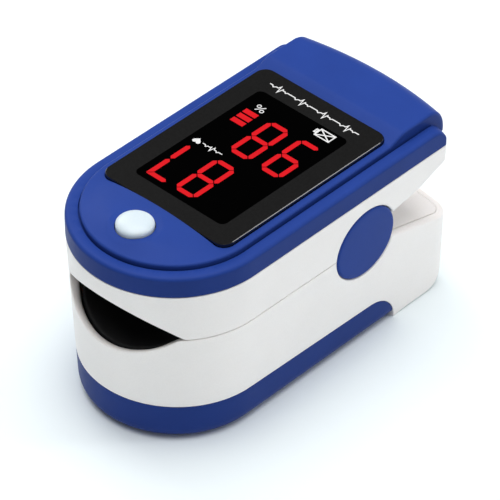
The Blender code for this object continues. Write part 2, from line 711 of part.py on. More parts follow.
def ribbon(name, path, half_width, thick, colour):
    """A flat cable along a (Y, Z) path."""
    left, right = [], []
    for i, (y, z) in enumerate(path):
        before, after = path[max(i - 1, 0)], path[min(i + 1, len(path) - 1)]
        along = Vector((after[0] - before[0], after[1] - before[1])).normalized()
        left.append((y - along.y * thick / 2, z + along.x * thick / 2))
        right.append((y + along.y * thick / 2, z - along.x * thick / 2))
    return side_plate(name, left + right[::-1], -half_width, half_width, colour)


def make_flex_cable():
    """From the sensor board, up in front of the pin, to the underside of the main board."""
    bend_r = 1.6
    rise_y = 6.6
    path = [(SENSOR_Y + 5.3, 13.9)]
    path += arc((rise_y - bend_r, 13.9 + bend_r), bend_r, -90, 0, 6)
    path += [(rise_y, 18.0), (rise_y, 22.0), (rise_y, BOARD_Z[0] - GAP)]
    return ribbon("flex_cable", path, 2.5, 0.25, "flex_amber")


# ---------------------------------------------------------------- assembly

def build():
    clear_scene()
    make_collections()
    recesses, bore = hinge_cutters()

    upper_case = make_upper_case(recesses, bore)
    upper_tail = make_tail_plate("upper_tail_plate", UPPER_EDGE, UPPER_REAR, 1)
    screws = make_tail_screws(upper_tail)
    upper_pad = make_pad("upper_finger_pad", UPPER_PAD_Z, UPPER_TROUGH_Z, False, (25.1, 27.0), PAD_REAR_Y)
    top_cover = make_top_cover()
    window, module = make_display()
    boards = make_upper_boards()
    button = make_power_button()

    make_lower_case(recesses, bore)
    make_tail_plate("lower_tail_plate", LOWER_EDGE, LOWER_REAR, -1)
    make_pad("lower_finger_pad", LOWER_PAD_Z, LOWER_TROUGH_Z, True, (12.0, 14.5), PAD_REAR_Y)
    make_inner_frame()
    cells = make_cells()
    make_sensor()
    make_flex_cable()
    pin, springs, caps = make_hinge()
    door = make_battery_door()

    hinge = axis_empty("jaw_hinge_axis", (0, HINGE_Y, HINGE_Z))
    hang_on(hinge, upper_case, upper_tail, upper_pad, top_cover, window, module, *boards, *screws)
    press = axis_empty("power_button_axis", (0, BUTTON_Y, BUTTON_TOP_Z))
    hang_on(hinge, press)
    hang_on(press, button)
    hang_on(axis_empty("battery_door_slide_axis", (0, 0, 0)), door)
    smooth(button, pin, *caps, *screws, cells[0], cells[2])


build()
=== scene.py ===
"""Looks of the fingertip pulse oximeter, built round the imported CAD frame.

Lengths are in millimetres and MM turns them into metres. The origin is the middle of the flat
base, in the mirror plane. -Y is the finger mouth, +Y the squeeze tail and +Z is up.
"""

from math import atan2, cos, degrees, pi, radians, sin, sqrt

import bmesh
import bpy
import numpy as np
from mathutils import Matrix, Vector


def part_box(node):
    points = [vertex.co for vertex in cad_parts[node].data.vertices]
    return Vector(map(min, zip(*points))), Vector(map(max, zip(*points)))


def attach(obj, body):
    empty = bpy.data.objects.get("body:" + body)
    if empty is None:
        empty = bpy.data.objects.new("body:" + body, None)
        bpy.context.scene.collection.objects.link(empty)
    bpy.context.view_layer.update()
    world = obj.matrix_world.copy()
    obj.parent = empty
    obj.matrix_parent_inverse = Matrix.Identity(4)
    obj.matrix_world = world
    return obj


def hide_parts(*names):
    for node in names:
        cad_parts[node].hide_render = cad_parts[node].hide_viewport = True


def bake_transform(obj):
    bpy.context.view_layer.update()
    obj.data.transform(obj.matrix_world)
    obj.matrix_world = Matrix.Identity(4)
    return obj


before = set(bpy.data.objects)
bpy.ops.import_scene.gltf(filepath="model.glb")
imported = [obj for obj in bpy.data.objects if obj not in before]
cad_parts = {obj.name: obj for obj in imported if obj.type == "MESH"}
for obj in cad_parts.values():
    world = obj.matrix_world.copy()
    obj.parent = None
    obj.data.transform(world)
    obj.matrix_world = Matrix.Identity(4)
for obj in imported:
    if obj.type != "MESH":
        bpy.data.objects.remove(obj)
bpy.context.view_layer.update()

MM = 0.001


def mm_box(node):
    low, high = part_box(node)
    return low / MM, high / MM


# ---------- sizes, from the frame

COVER_LOW, COVER_HIGH = mm_box("top_cover")
UPPER_LOW, UPPER_HIGH = mm_box("upper_case")
LOWER_LOW, LOWER_HIGH = mm_box("lower_case")
LENS_LOW, LENS_HIGH = mm_box("display_window")
BUTTON_LOW, BUTTON_HIGH = mm_box("power_button")
CAP_LOW, CAP_HIGH = mm_box("hinge_cap_right")
DOOR_HIGH = mm_box("battery_door")[1]
FLEX_LOW, FLEX_HIGH = mm_box("flex_cable")
DIODE_LOW, DIODE_HIGH = mm_box("photodiode")

# Plan and draft of the jaws.
HALF_WIDTH = COVER_HIGH.x
HALF_WIDTH_AT_FLOOR = 14.27
COVER_Z = COVER_LOW.z
FRONT_CENTRE_Y = COVER_LOW.y + HALF_WIDTH
UPPER_REAR = UPPER_HIGH.y
LOWER_REAR = LOWER_HIGH.y
UPPER_CORNER_R = 0.5
LOWER_CORNER_R = 3.4
REAR_SAG = 1.95
WALL = 1.3
DRAFT = (HALF_WIDTH - HALF_WIDTH_AT_FLOOR) / COVER_Z

# Hinge.
HINGE_Y = (CAP_LOW.y + CAP_HIGH.y) / 2
HINGE_Z = (CAP_LOW.z + CAP_HIGH.z) / 2
CAP_R = (CAP_HIGH.y - CAP_LOW.y) / 2
CAP_GAP = 0.12
BORE_R = 1.4
EAR_R = 4.4
LOWER_EAR = {"span_x": (12.3, 13.5), "reach_z": 9.5, "shelf_z": (9.0, 12.6), "shelf_x": 14.3}
UPPER_EAR = {"span_x": (10.3, 12.0), "reach_z": 26.0, "shelf_z": (24.8, 26.2), "shelf_x": 14.6}
EAR_HALF_FOOT = 3
RECESS_FLOOR_X = (13.52, 13.78)
RECESS_FLOOR_R = 7.0

# Parting lines in side view, as Y and Z. They close up to a hairline ahead of the hinge.
PARTING_CLOSE = 0.09
PARTING_BEND_Y = 10.4
TAIL_START_Y = 13.2
UPPER_EDGE = ((-31.2, PARTING_BEND_Y, TAIL_START_Y, 21.7, 30.2),
              (19.9 - PARTING_CLOSE, 19.35 - PARTING_CLOSE, 21.05, 22.6, 25.9))
LOWER_EDGE = ((-31.2, PARTING_BEND_Y, TAIL_START_Y, 32.5),
              (19.6 + PARTING_CLOSE, 19.05 + PARTING_CLOSE, 17.9, 12.63))

# The tail's screws, in round seats that are sunk into its plate.
TAIL_SCREW_Y = 18.0
SEAT_R, SEAT_HOLE_R = 1.6, 1.0
SEAT_DEPTH, SEAT_LIFT = 0.75, 0.25

# Finger mouth: arcs about lines along Y.
LOWER_LIP_R, LOWER_LIP_Z = 16.6, 15.6
UPPER_LIP_R, UPPER_LIP_Z = 15.9, 24.6
LIP_REAR_Y = -11.0

# Battery door.
DOOR_EDGE_FRONT_Z, DOOR_EDGE_REAR_Z = 6.7, 5.6
DOOR_SHOULDER_Y = 12.3
DOOR_REAR_Y = DOOR_HIGH.y
DOOR_FLOOR = 1.2
DOOR_WALL = 1.2
DOOR_SEAM = 0.08
BOTTOM_ROUND = 5.0
FLOOR_THICK = 1.5
RAIL_X, RAIL_Y, RAIL_Z = (12.35, 13.6), (-10, 12), (3.4, 4.2)
GROOVES, GROOVE_START_Y, GROOVE_PITCH = 7, 8.0, 1.15
GROOVE_REACH, GROOVE_TAPER, GROOVE_R, GROOVE_Z = 5.2, 0.35, 0.38, -0.12

# Lid.
RIM_TOP_Z = 31.2
RIM_ROUND = 0.6
RIM_REAR_R = 3.0
TIER_INSET = 2.1
TIER_TOP_Z = 32.0
TIER_ROUND = 0.4
TIER_REAR = 27.0
CROWN = 0.95
CROWN_FALL = 0.8
CROWN_EDGE = (0.3, 3.6)
CROWN_REAR = (-14.5, -4.0)
GROOVE_DEEP = 0.34
TAIL_TOP_Z = COVER_HIGH.z
TAIL_REAR_Y = COVER_HIGH.y
TAIL_SAG = 1.48
LENS_GAP = 0.08
LENS_CORNER_R = 1.8
BUTTON_R = 2.8

# How finely the outline and the edges are divided.
FRONT_STEPS = 144
CORNER_STEPS = 12
REAR_STEPS = 24
REAR_ZONE = 9.0
ZONE_STEPS = 20
FILLET_STEPS = 5

# Points that lie this close together count as one.
SAME_POINT = 0.001


# ---------- small helpers

def fan(start, end, steps):
    """Angles in radians from start to end degrees, both included."""
    return np.radians(np.linspace(start, end, steps + 1))


def fillet(start, end, steps):
    """Points round an edge, as shares of its radius that each stays short of the two sides."""
    return [(1 - cos(a), 1 - sin(a)) for a in fan(start, end, steps)]


def smoothstep(low, high, value):
    share = np.clip((np.asarray(value, float) - low) / (high - low), 0, 1)
    return share * share * (3 - 2 * share)


def half_width(z):
    return HALF_WIDTH_AT_FLOOR + DRAFT * np.clip(z, 0, COVER_Z)


def sag(x):
    """How far a bowed rear has come forward at one place across."""
    return REAR_SAG * (np.asarray(x) / HALF_WIDTH) ** 2


class Plan:
    """The jaw's outline: half circle in front, straight sides, a bowed rear.

    Each station keeps how its place depends on the side's half width, the corner's radius and
    the rear face, so one station can be found again at any height and any inset.
    """

    def __init__(self, rear, corner_r, extra_y=()):
        self.rear = rear
        self.corner_r = corner_r
        last = rear - REAR_ZONE
        straight = np.concatenate((np.arange(FRONT_CENTRE_Y, last, 1.0), extra_y, [last]))
        straight = np.unique(np.round(straight, 4))
        straight = straight[(straight > FRONT_CENTRE_Y + 0.05) & (straight <= last)]
        ending = np.linspace(0, 1, ZONE_STEPS + 1)[1:-1]
        across = np.linspace(1, -1, REAR_STEPS + 1)[1:-1]
        rows = [(cos(a), sin(a), 0, 0, FRONT_CENTRE_Y, 0) for a in fan(180, 360, FRONT_STEPS)]
        right = [(1, 0, 0, 0, y, 0) for y in straight]
        right += [(1, 0, 0, -t, (1 - t) * last, t) for t in ending]
        right += [(1, 0, cos(a) - 1, sin(a) - 1, 0, 1) for a in fan(0, 90, CORNER_STEPS)]
        rows += right + [(t, 0, -t, 0, 0, 1) for t in across]
        rows += [(-u, v, -cu, cv, y, at_rear) for u, v, cu, cv, y, at_rear in right[::-1]]
        self.rows = np.array(rows, float)
        self.count = len(rows)

    def at(self, z, inset, width=None):
        side = (half_width(z) if width is None else width) - inset
        corner = np.maximum(self.corner_r - inset, 0.3)
        u, v, cu, cv, y, at_rear = self.rows.T
        x_place = u * side + cu * corner
        y_place = v * side + cv * corner + y + at_rear * (self.rear - inset - sag(x_place))
        return x_place, y_place

    def ring(self, z, inset, width=None):
        x, y = self.at(z, inset, width)
        return np.stack((x, y, np.broadcast_to(z, x.shape)), 1)

    def edge_ring(self, inset, edge, lift):
        """Points at one inset whose height follows an edge, which depends on where they are."""
        z = np.full(self.count, COVER_Z / 2)
        for _ in range(4):
            x, y = self.at(z, inset)
            z = edge(x, y) + lift
        x, y = self.at(z, inset)
        return np.stack((x, y, z), 1)


def grid_faces(rows, columns, wrap_rows=False, wrap_columns=True, start=0):
    faces = []
    for i in range(rows if wrap_rows else rows - 1):
        for j in range(columns if wrap_columns else columns - 1):
            a, b = start + i * columns, start + (i + 1) % rows * columns
            k = (j + 1) % columns
            faces.append((a + j, a + k, b + k, b + j))
    return faces


def linked(name, data):
    obj = bpy.data.objects.new(name, data)
    bpy.context.scene.collection.objects.link(obj)
    return obj


def edited(mesh, change):
    """Applies a change, a function of the mesh's bmesh."""
    work = bmesh.new()
    work.from_mesh(mesh)
    change(work)
    work.to_mesh(mesh)
    work.free()


def make_mesh(name, points, faces, tidy=True):
    """An object from points in millimetres, with its normals outward."""
    mesh = bpy.data.meshes.new(name)
    mesh.from_pydata((np.asarray(points, float) * MM).tolist(), [], [tuple(map(int, f)) for f in faces])

    def close(work):
        if tidy:
            bmesh.ops.remove_doubles(work, verts=work.verts, dist=2 * SAME_POINT * MM)
        bmesh.ops.recalc_face_normals(work, faces=work.faces)

    edited(mesh, close)
    return linked(name, mesh)


def lofted(name, rings, closed=False):
    """Rings of equal point counts joined in order, capped at both ends unless they close up."""
    rings = np.asarray(rings, float)
    rows, columns = rings.shape[:2]
    faces = grid_faces(rows, columns, wrap_rows=closed)
    if not closed:
        faces.append(tuple(range(columns))[::-1])
        faces.append(tuple(range((rows - 1) * columns, rows * columns)))
    return make_mesh(name, rings.reshape(-1, 3), faces)


def slab(name, low, high):
    """A closed sheet between two grids of points."""
    rows, columns = low.shape[:2]
    count = rows * columns
    under = [tuple(reversed(f)) for f in grid_faces(rows, columns, wrap_columns=False)]
    over = grid_faces(rows, columns, wrap_columns=False, start=count)
    rim = [j for j in range(columns)]
    rim += [i * columns + columns - 1 for i in range(1, rows)]
    rim += [(rows - 1) * columns + j for j in range(columns - 2, -1, -1)]
    rim += [i * columns for i in range(rows - 2, 0, -1)]
    edge = [(a, b, b + count, a + count) for a, b in zip(rim, rim[1:] + rim[:1])]
    points = np.concatenate((low.reshape(-1, 3), high.reshape(-1, 3)))
    return make_mesh(name, points, under + over + edge)


def turned(name, profile, steps=72):
    """Radius and height points, from the bottom axis to the top axis, turned about Z."""
    angles = np.linspace(0, 2 * pi, steps, endpoint=False)
    rings = [[(r * cos(a), r * sin(a), h) for a in angles] for r, h in profile if r > 0]
    columns, rows = steps, len(rings)
    points = [p for ring in rings for p in ring]
    faces = grid_faces(rows, columns)
    points += [(0, 0, profile[0][1]), (0, 0, profile[-1][1])]
    low, high = len(points) - 2, len(points) - 1
    faces += [(low, (j + 1) % columns, j) for j in range(columns)]
    last = (rows - 1) * columns
    faces += [(high, last + j, last + (j + 1) % columns) for j in range(columns)]
    return make_mesh(name, points, faces)


def drum(radius, low, high):
    """Profile of a plain cylinder, for turned."""
    return [(0, low), (radius, low), (radius, high), (0, high)]


def offset_loop(loop, distance):
    """Moves a closed loop of 2-D points, listed anticlockwise, inward along its corner normals."""
    loop = np.asarray(loop, float)
    ahead = np.roll(loop, -1, 0) - loop
    ahead /= np.linalg.norm(ahead, axis=1, keepdims=True)
    behind = np.roll(ahead, 1, 0)
    inward = np.stack((-ahead[:, 1] - behind[:, 1], ahead[:, 0] + behind[:, 0]), 1)
    inward /= np.maximum(np.linalg.norm(inward, axis=1, keepdims=True), 1e-6)
    lean = np.abs(np.sum(inward * np.stack((-ahead[:, 1], ahead[:, 0]), 1), 1))
    return loop + inward * (distance / np.maximum(lean, 0.6))[:, None]


def rounded_rectangle(low, high, radius, steps=8):
    corners = ((high[0] - radius, low[1] + radius, -90), (high[0] - radius, high[1] - radius, 0),
               (low[0] + radius, high[1] - radius, 90), (low[0] + radius, low[1] + radius, 180))
    return [(x + radius * cos(a), y + radius * sin(a))
            for x, y, start in corners for a in fan(start, start + 90, steps)]


def inset_rectangle(low, high, radius, inset, z):
    """One ring of a rounded rectangle drawn in by inset, at height z."""
    corner = max(radius - inset, 0.05)
    return [(x, y, z) for x, y in rounded_rectangle(
        (low[0] + inset, low[1] + inset), (high[0] - inset, high[1] - inset), corner)]


def prism(name, outline, low, high, axis="Z"):
    """An outline extruded along Z, or a (Y, Z) outline extruded along X."""
    if axis == "Z":
        rings = [[(u, v, h) for u, v in outline] for h in (low, high)]
    else:
        rings = [[(h, u, v) for u, v in outline] for h in (low, high)]
    return lofted(name, rings)


def block(name, low, high):
    return prism(name, [(low[0], low[1]), (high[0], low[1]), (high[0], high[1]), (low[0], high[1])],
                 low[2], high[2])


def boolean(obj, operation, *others):
    """Applies one exact Boolean after another, and removes the shapes that were used."""
    for other in others:
        step = obj.modifiers.new("step", "BOOLEAN")
        step.operation = operation
        step.solver = "EXACT"
        step.object = other
        graph = bpy.context.evaluated_depsgraph_get()
        mesh = bpy.data.meshes.new_from_object(obj.evaluated_get(graph))
        obj.modifiers.clear()
        old = obj.data
        obj.data = mesh
        bpy.data.meshes.remove(old)
        bpy.data.objects.remove(other, do_unlink=True)
    return cleaned(obj)


def cleaned(obj):
    """Drops the doubled points and the faces without area that Booleans can leave."""

    def clean(work):
        bmesh.ops.remove_doubles(work, verts=work.verts, dist=SAME_POINT * MM)
        bmesh.ops.dissolve_degenerate(work, edges=work.edges, dist=SAME_POINT * MM)

    edited(obj.data, clean)
    return obj


def place(obj, origin, direction=(0, 0, 1)):
    """Puts an object's Z along direction at origin, in its mesh."""
    turn = Vector(direction).to_track_quat("Z", "Y").to_matrix().to_4x4()
    obj.data.transform(Matrix.Translation(Vector(origin) * MM) @ turn)
    return obj


def dress(obj, body, material, slot, *nodes, sharp=38):
    """Smooth shading, the material, the body that it rides on and the CAD nodes it stands for."""
    obj.data.shade_smooth()
    obj.data.set_sharp_from_angle(angle=radians(sharp))
    obj.data.materials.clear()
    for one in (material if isinstance(material, (list, tuple)) else [material]):
        obj.data.materials.append(one)
    step = obj.modifiers.new("normals", "WEIGHTED_NORMAL")
    step.keep_sharp = True
    step.weight = 50
    if body:
        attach(obj, body)
    if nodes:
        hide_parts(*nodes)
    return obj


# ---------- materials

class Graph:
    """Adds nodes to a tree. Inputs go by name, each as a value or as the socket that feeds it."""

    def __init__(self, tree):
        self.tree = tree

    def feed(self, node, **inputs):
        for name, value in inputs.items():
            socket = node.inputs[name.replace("_", " ")]
            if isinstance(value, bpy.types.NodeSocket):
                self.tree.links.new(value, socket)
            else:
                socket.default_value = value
        return node

    def add(self, kind, settings=(), **inputs):
        node = self.tree.nodes.new("ShaderNode" + kind)
        for name, value in dict(settings).items():
            setattr(node, name, value)
        return self.feed(node, **inputs)

    def ramp(self, factor, *stops):
        node = self.add("ValToRGB", Fac=factor)
        elements = node.color_ramp.elements
        while len(elements) < len(stops):
            elements.new(0.5)
        for element, (position, colour) in zip(elements, stops):
            element.position = position
            element.color = (*colour, 1.0)
        return node.outputs["Color"]

    def multiplied(self, colour, other):
        kind = {"data_type": "RGBA", "blend_type": "MULTIPLY"}
        return self.add("Mix", kind, Factor=1.0, A=colour, B=other).outputs["Result"]


class Look(Graph):
    """A material in the making, whose textures use the object's own coordinates."""

    def __init__(self, name, **inputs):
        self.material = bpy.data.materials.new(name)
        self.material.use_nodes = True
        super().__init__(self.material.node_tree)
        self.where = self.add("TexCoord").outputs["Object"]
        self.shade(**inputs)

    def shade(self, **inputs):
        self.feed(self.tree.nodes["Principled BSDF"], **inputs)

    def noise(self, per_mm, detail, roughness=0.55, where=None):
        return self.add("TexNoise", Scale=per_mm / MM, Detail=detail, Roughness=roughness,
                        Vector=where or self.where).outputs["Fac"]

    def finish(self, colour, gloss, *bumps):
        """The material. gloss is a socket with the roughness at both its ends, and each bump is
        a height socket, a strength and a depth in millimetres, the lowest first."""
        factor, low, high = gloss
        rough = self.add("MapRange", Value=factor, To_Min=low, To_Max=high)
        below = None
        for height, strength, depth in bumps:
            bump = self.add("Bump", Strength=strength, Distance=depth * MM, Height=height)
            if below:
                self.feed(bump, Normal=below)
            below = bump.outputs["Normal"]
        self.shade(Base_Color=colour, Roughness=rough.outputs["Result"], Normal=below)
        return self.material


def scaled(colour, factor):
    return tuple(min(c * factor, 1.0) for c in colour)


def grey(value):
    return (value, value, value)


GRAIN_PER_MM = 1 / 0.22


def moulded(name, colour, roughness=0.4, grain=0.012, variation=0.06, specular=0.5, subsurface=0.0,
            painted_wall_shade=1.0):
    """Moulded plastic: fine spark-eroded grain, faint flow clouds in colour and gloss, slight ripple.

    The last argument under 1 is painted shade: it darkens upright walls, less as their normal turns up.
    """
    look = Look(name, Specular_IOR_Level=specular)
    fine = look.noise(GRAIN_PER_MM, 2.0, 0.6)
    pale, deep = scaled(colour, 1 + variation), scaled(colour, 1 - variation)
    tint = look.ramp(look.noise(0.12, 4.0), (0.3, deep), (0.7, pale))
    tone = look.multiplied(tint, look.ramp(fine, (0.3, grey(0.965)), (0.7, grey(1.0))))
    # Painted shade: colour darkened on walls whose normal points sideways, fading out as it turns mostly
    # up.
    if painted_wall_shade < 1:
        facing = look.add("SeparateXYZ", Vector=look.add("NewGeometry").outputs["Normal"]).outputs["Z"]
        tone = look.multiplied(tone, look.ramp(facing, (0.1, grey(painted_wall_shade)), (0.75, grey(1.0))))
    if subsurface:
        look.shade(Subsurface_Weight=subsurface, Subsurface_Radius=(0.9, 0.8, 0.7),
                   Subsurface_Scale=0.8 * MM)
    return look.finish(tone, (look.noise(0.9, 3.0), roughness - 0.05, roughness + 0.05),
                       (look.noise(0.25, 1.0), 0.25, 0.02), (fine, 0.35, grain))


def rubber(name, colour):
    """Matt silicone with a fine leathery skin and a little dust."""
    look = Look(name, Specular_IOR_Level=0.3)
    skin = look.add("TexVoronoi", Scale=2.2 / MM, Vector=look.where).outputs["Distance"]
    dust = look.noise(0.5, 5.0)
    return look.finish(look.ramp(dust, (0.35, colour), (0.8, scaled(colour, 1.6))), (dust, 0.55, 0.75),
                       (skin, 0.3, 0.02), (look.noise(6.0, 2.0), 0.3, 0.01))


def metal(name, colour, roughness):
    """Drawn or rolled metal: scratches stretched along X, with stains in the colour."""
    look = Look(name, Metallic=1.0)
    stretched = look.add("Mapping", Scale=(1, 12, 12), Vector=look.where).outputs["Vector"]
    lines = look.noise(1.2, 4.0, 0.7, stretched)
    stain = look.noise(0.6, 3.0)
    return look.finish(look.ramp(stain, (0.3, scaled(colour, 0.82)), (0.7, colour)),
                       (lines, roughness - 0.08, roughness + 0.1), (lines, 0.3, 0.01))


def circuit_board(name, mask, copper):
    """Solder mask over copper tracks: the tracks stand up a little and read lighter."""
    look = Look(name)
    tracks = look.add("TexBrick", Scale=0.22 / MM, Mortar_Size=0.06, Color1=(*grey(0), 1),
                      Color2=(*grey(0.1), 1), Mortar=(*grey(1), 1), Vector=look.where).outputs["Color"]
    weave = look.noise(2.5, 2.0)
    return look.finish(look.ramp(tracks, (0.1, mask), (0.9, copper)), (weave, 0.3, 0.5),
                       (tracks, 0.4, 0.03), (weave, 0.2, 0.01))


def glossy_black(name, colour, roughness, specular):
    """Polished window: deep black, a few faint rubbed marks in the gloss."""
    look = Look(name, Specular_IOR_Level=specular)
    smears = look.noise(0.18, 5.0, 0.6)
    speck = look.ramp(look.noise(3.0, 2.0), (0.3, scaled(colour, 0.85)), (0.7, scaled(colour, 1.15)))
    return look.finish(speck, (smears, roughness - 0.02, roughness + 0.05), (smears, 0.1, 0.01))


def glowing(name, colour, strength):
    """A lit mark: emission with a faint unevenness, as through a diffusing film."""
    look = Look(name, Specular_IOR_Level=0.1, Emission_Strength=strength)
    uneven = look.noise(1.4, 3.0)
    look.shade(Emission_Color=look.ramp(uneven, (0.25, scaled(colour, 0.9)), (0.6, colour)))
    return look.finish((*scaled(colour, 0.1), 1.0), (uneven, 0.5, 0.7), (uneven, 0.1, 0.01))


def resin(name, colour):
    """Clear potting resin with a faint haze."""
    look = Look(name, Transmission_Weight=0.5)
    haze = look.noise(1.5, 3.0)
    return look.finish(look.ramp(haze, (0.3, scaled(colour, 0.9)), (0.7, colour)), (haze, 0.08, 0.16),
                       (haze, 0.15, 0.01))


def cell_jacket(name):
    """A battery's shrink sleeve: dark sides with a copper-coloured band at one end."""
    look = Look(name, Metallic=0.55)
    place_y = look.add("SeparateXYZ", Vector=look.where).outputs["Y"]
    along = look.add("MapRange", From_Min=-20 * MM, From_Max=25 * MM, Value=place_y).outputs["Result"]
    foil = look.noise(1.2, 4.0)
    return look.finish(look.ramp(along, (0.27, (0.42, 0.19, 0.06)), (0.285, (0.035, 0.037, 0.042))),
                       (foil, 0.25, 0.4), (foil, 0.2, 0.01))


BLUE_PIGMENT = (0.0175, 0.050, 0.262)
# The lid's and door's blue paints shade on upright walls, 0.78 of the top's colour; the caps' blue is
# the same pigment without it.
BLUE = moulded("blue_plastic_painted_wall_shade", BLUE_PIGMENT, 0.42, 0.010, 0.05, 0.07, painted_wall_shade=0.78)
CAP_BLUE = moulded("cap_plastic", BLUE_PIGMENT, 0.42, 0.010, 0.05, 0.07)
WHITE = moulded("white_plastic", (0.935, 0.898, 0.876), 0.42, 0.008, 0.012, 0.4, subsurface=0.12)
BUTTON_WHITE = moulded("button_plastic", (0.62, 0.71, 0.76), 0.3, 0.005, 0.02, subsurface=0.25)
PAD_BLACK = rubber("pad_silicone", (0.005, 0.005, 0.0055))
LENS_INNER = glossy_black("lens_clear_area", grey(0.0003), 0.06, 0.01)
LENS_FRAME = glossy_black("lens_printed_frame", (0.0085, 0.0084, 0.0083), 0.22, 0.06)
LENS_EDGE = glossy_black("lens_cut_edge", grey(0.003), 0.12, 0.9)
DISPLAY_BLACK = moulded("display_module_black", (0.012, 0.012, 0.013), 0.45, variation=0.2)
GREEN_BOARD = circuit_board("circuit_board", (0.012, 0.11, 0.04), (0.04, 0.24, 0.09))
CHIP_BLACK = moulded("chip_epoxy", (0.018, 0.018, 0.019), 0.55, 0.01, 0.2)
STEEL = metal("spring_steel", (0.56, 0.56, 0.57), 0.3)
NICKEL = metal("contact_nickel", (0.66, 0.63, 0.58), 0.28)
FRAME_WHITE = moulded("frame_plastic", (0.62, 0.63, 0.62), 0.5, variation=0.03)
FLEX_AMBER = circuit_board("flex_polyimide", (0.42, 0.17, 0.02), (0.62, 0.30, 0.06))
CLEAR_RESIN = resin("clear_resin", (0.8, 0.76, 0.7))
CELL_JACKET = cell_jacket("cell_jacket")
LED_RED = glowing("lit_red", (0.70, 0.002, 0.008), 1.0)
PRINT_WHITE = glowing("lit_white", grey(0.86), 0.95)


# ---------- edges of the jaws

def arch(x, radius, lip_z, up):
    """Height of a lip's arc: up is 1 for the upper jaw and -1 for the lower."""
    return lip_z - up * (radius - np.sqrt(np.maximum(radius ** 2 - x ** 2, 0)))


def upper_parting(x, y):
    line = np.interp(y, *UPPER_EDGE)
    return np.where(y < LIP_REAR_Y, np.maximum(line, arch(x, UPPER_LIP_R, UPPER_LIP_Z, 1)), line)


def lower_parting(x, y):
    line = np.interp(y, *LOWER_EDGE)
    return np.where(y < LIP_REAR_Y, np.minimum(line, arch(x, LOWER_LIP_R, LOWER_LIP_Z, -1)), line)


def door_edge(y, shift=0.0):
    """Top of the door's band in side view, which drops in a quarter ellipse at its rear end."""
    run, rise = DOOR_REAR_Y - DOOR_SHOULDER_Y + shift, DOOR_EDGE_REAR_Z + shift
    front_y = LOWER_LOW.y
    fall = DOOR_EDGE_REAR_Z - DOOR_EDGE_FRONT_Z
    straight = DOOR_EDGE_FRONT_Z + fall * (y - front_y) / (DOOR_SHOULDER_Y - front_y)
    share = np.clip((y - DOOR_SHOULDER_Y) / run, 0, 1)
    return np.where(y < DOOR_SHOULDER_Y, straight + shift, rise * np.sqrt(1 - share ** 2))


def rear_bottom(x, y):
    """Underside of the lower case: the door's edge, then the floor, then the round rear edge."""
    reach = np.clip(y + sag(x) - (LOWER_REAR - BOTTOM_ROUND), 0, BOTTOM_ROUND)
    rounding = BOTTOM_ROUND - np.sqrt(BOTTOM_ROUND ** 2 - reach ** 2)
    return np.maximum(door_edge(y, DOOR_SEAM), rounding)


def wall(name, plan, bottom, top, radii):
    """A thin wall round the plan. radii are those of its outer bottom, inner bottom, inner top
    and outer top edges, each one number or one for each station."""
    outer_bottom, inner_bottom, inner_top, outer_top = radii
    quarter = fillet(0, 90, FILLET_STEPS)
    rings = [(outer_bottom * c, bottom, outer_bottom * s) for c, s in quarter]
    rings += [(WALL - inner_bottom * s, bottom, inner_bottom * c) for c, s in quarter]
    rings += [(WALL - inner_top * c, top, -inner_top * s) for c, s in quarter]
    rings += [(outer_top * s, top, -outer_top * c) for c, s in quarter]
    return lofted(name, [plan.edge_ring(*ring) for ring in rings], closed=True)


def side_normal(sign):
    """Outward direction of the drafted side wall."""
    return Vector((sign, 0, -DRAFT)).normalized()


def cap_recess(sign, depth=1.25, flare=0.22):
    """The round recess for a hinge cap, square to the drafted wall, with a small rounded lip."""
    radius = CAP_R + CAP_GAP
    face = half_width(HINGE_Z)
    profile = [(0, -depth), (radius, -depth), (radius, -flare)]
    profile += [(radius + flare * (1 - cos(a)), -flare + flare * sin(a)) for a in fan(20, 80, 4)]
    profile += [(radius + flare * 1.2, 0.1), (radius + flare * 1.2, 1.5), (0, 1.5)]
    return place(turned("recess", profile, 128), (sign * face, HINGE_Y, HINGE_Z), side_normal(sign))


def ear(name, sign, span_x, reach_z, shelf_z, shelf_x):
    """A hinge ear: a round end on the axis, a web, and a foot that meets the side wall."""
    start = -60 if reach_z < HINGE_Z else 120
    outline = [(HINGE_Y + EAR_R * cos(a), HINGE_Z + EAR_R * sin(a)) for a in fan(start, start + 300, 40)]
    outline += [(outline[-1][0], reach_z), (outline[0][0], reach_z)]
    near, far = sorted(sign * x for x in span_x)
    blade = prism(name, outline, near, far, "X")
    foot_near, foot_far = sorted((sign * sum(span_x) / 2, sign * shelf_x))
    foot = block("foot", (foot_near, HINGE_Y - EAR_HALF_FOOT, shelf_z[0]),
                 (foot_far, HINGE_Y + EAR_HALF_FOOT, shelf_z[1]))
    bore = place(turned("bore", drum(BORE_R, -20, 20), 40),
                 (0, HINGE_Y, HINGE_Z), (1, 0, 0))
    boolean(blade, "UNION", foot)
    return boolean(blade, "DIFFERENCE", bore)


def recess_floor(sign):
    """A disc inside the wall that closes the bottom of a cap's recess."""
    disc = turned("recess_floor", drum(RECESS_FLOOR_R, *RECESS_FLOOR_X), 96)
    return place(disc, (0, HINGE_Y, HINGE_Z), (sign, 0, 0))


# ---------- white casings

def make_upper_case():
    plan = Plan(UPPER_REAR, UPPER_CORNER_R, (PARTING_BEND_Y, TAIL_START_Y))
    x, y = plan.at(np.full(plan.count, UPPER_LOW.z), 0)
    line = np.interp(y, *UPPER_EDGE)
    mouth = smoothstep(0, 2.0, upper_parting(x, y) - line)
    tail = smoothstep(TAIL_START_Y, TAIL_START_Y + 2, y)
    radii = (0.14 + 0.16 * mouth + 0.3 * tail, 0.14 + 0.7 * mouth + 0.2 * tail, 0.1, 0.1)
    case = wall("upper_case_shell", plan, upper_parting,
                lambda x, y: np.full_like(x, COVER_Z - 0.05), radii)
    for sign in (-1, 1):
        boolean(case, "UNION", ear("upper_ear", sign, **UPPER_EAR))
        boolean(case, "DIFFERENCE", cap_recess(sign))
    return dress(case, "upper_jaw", WHITE, "body_white", "upper_case")


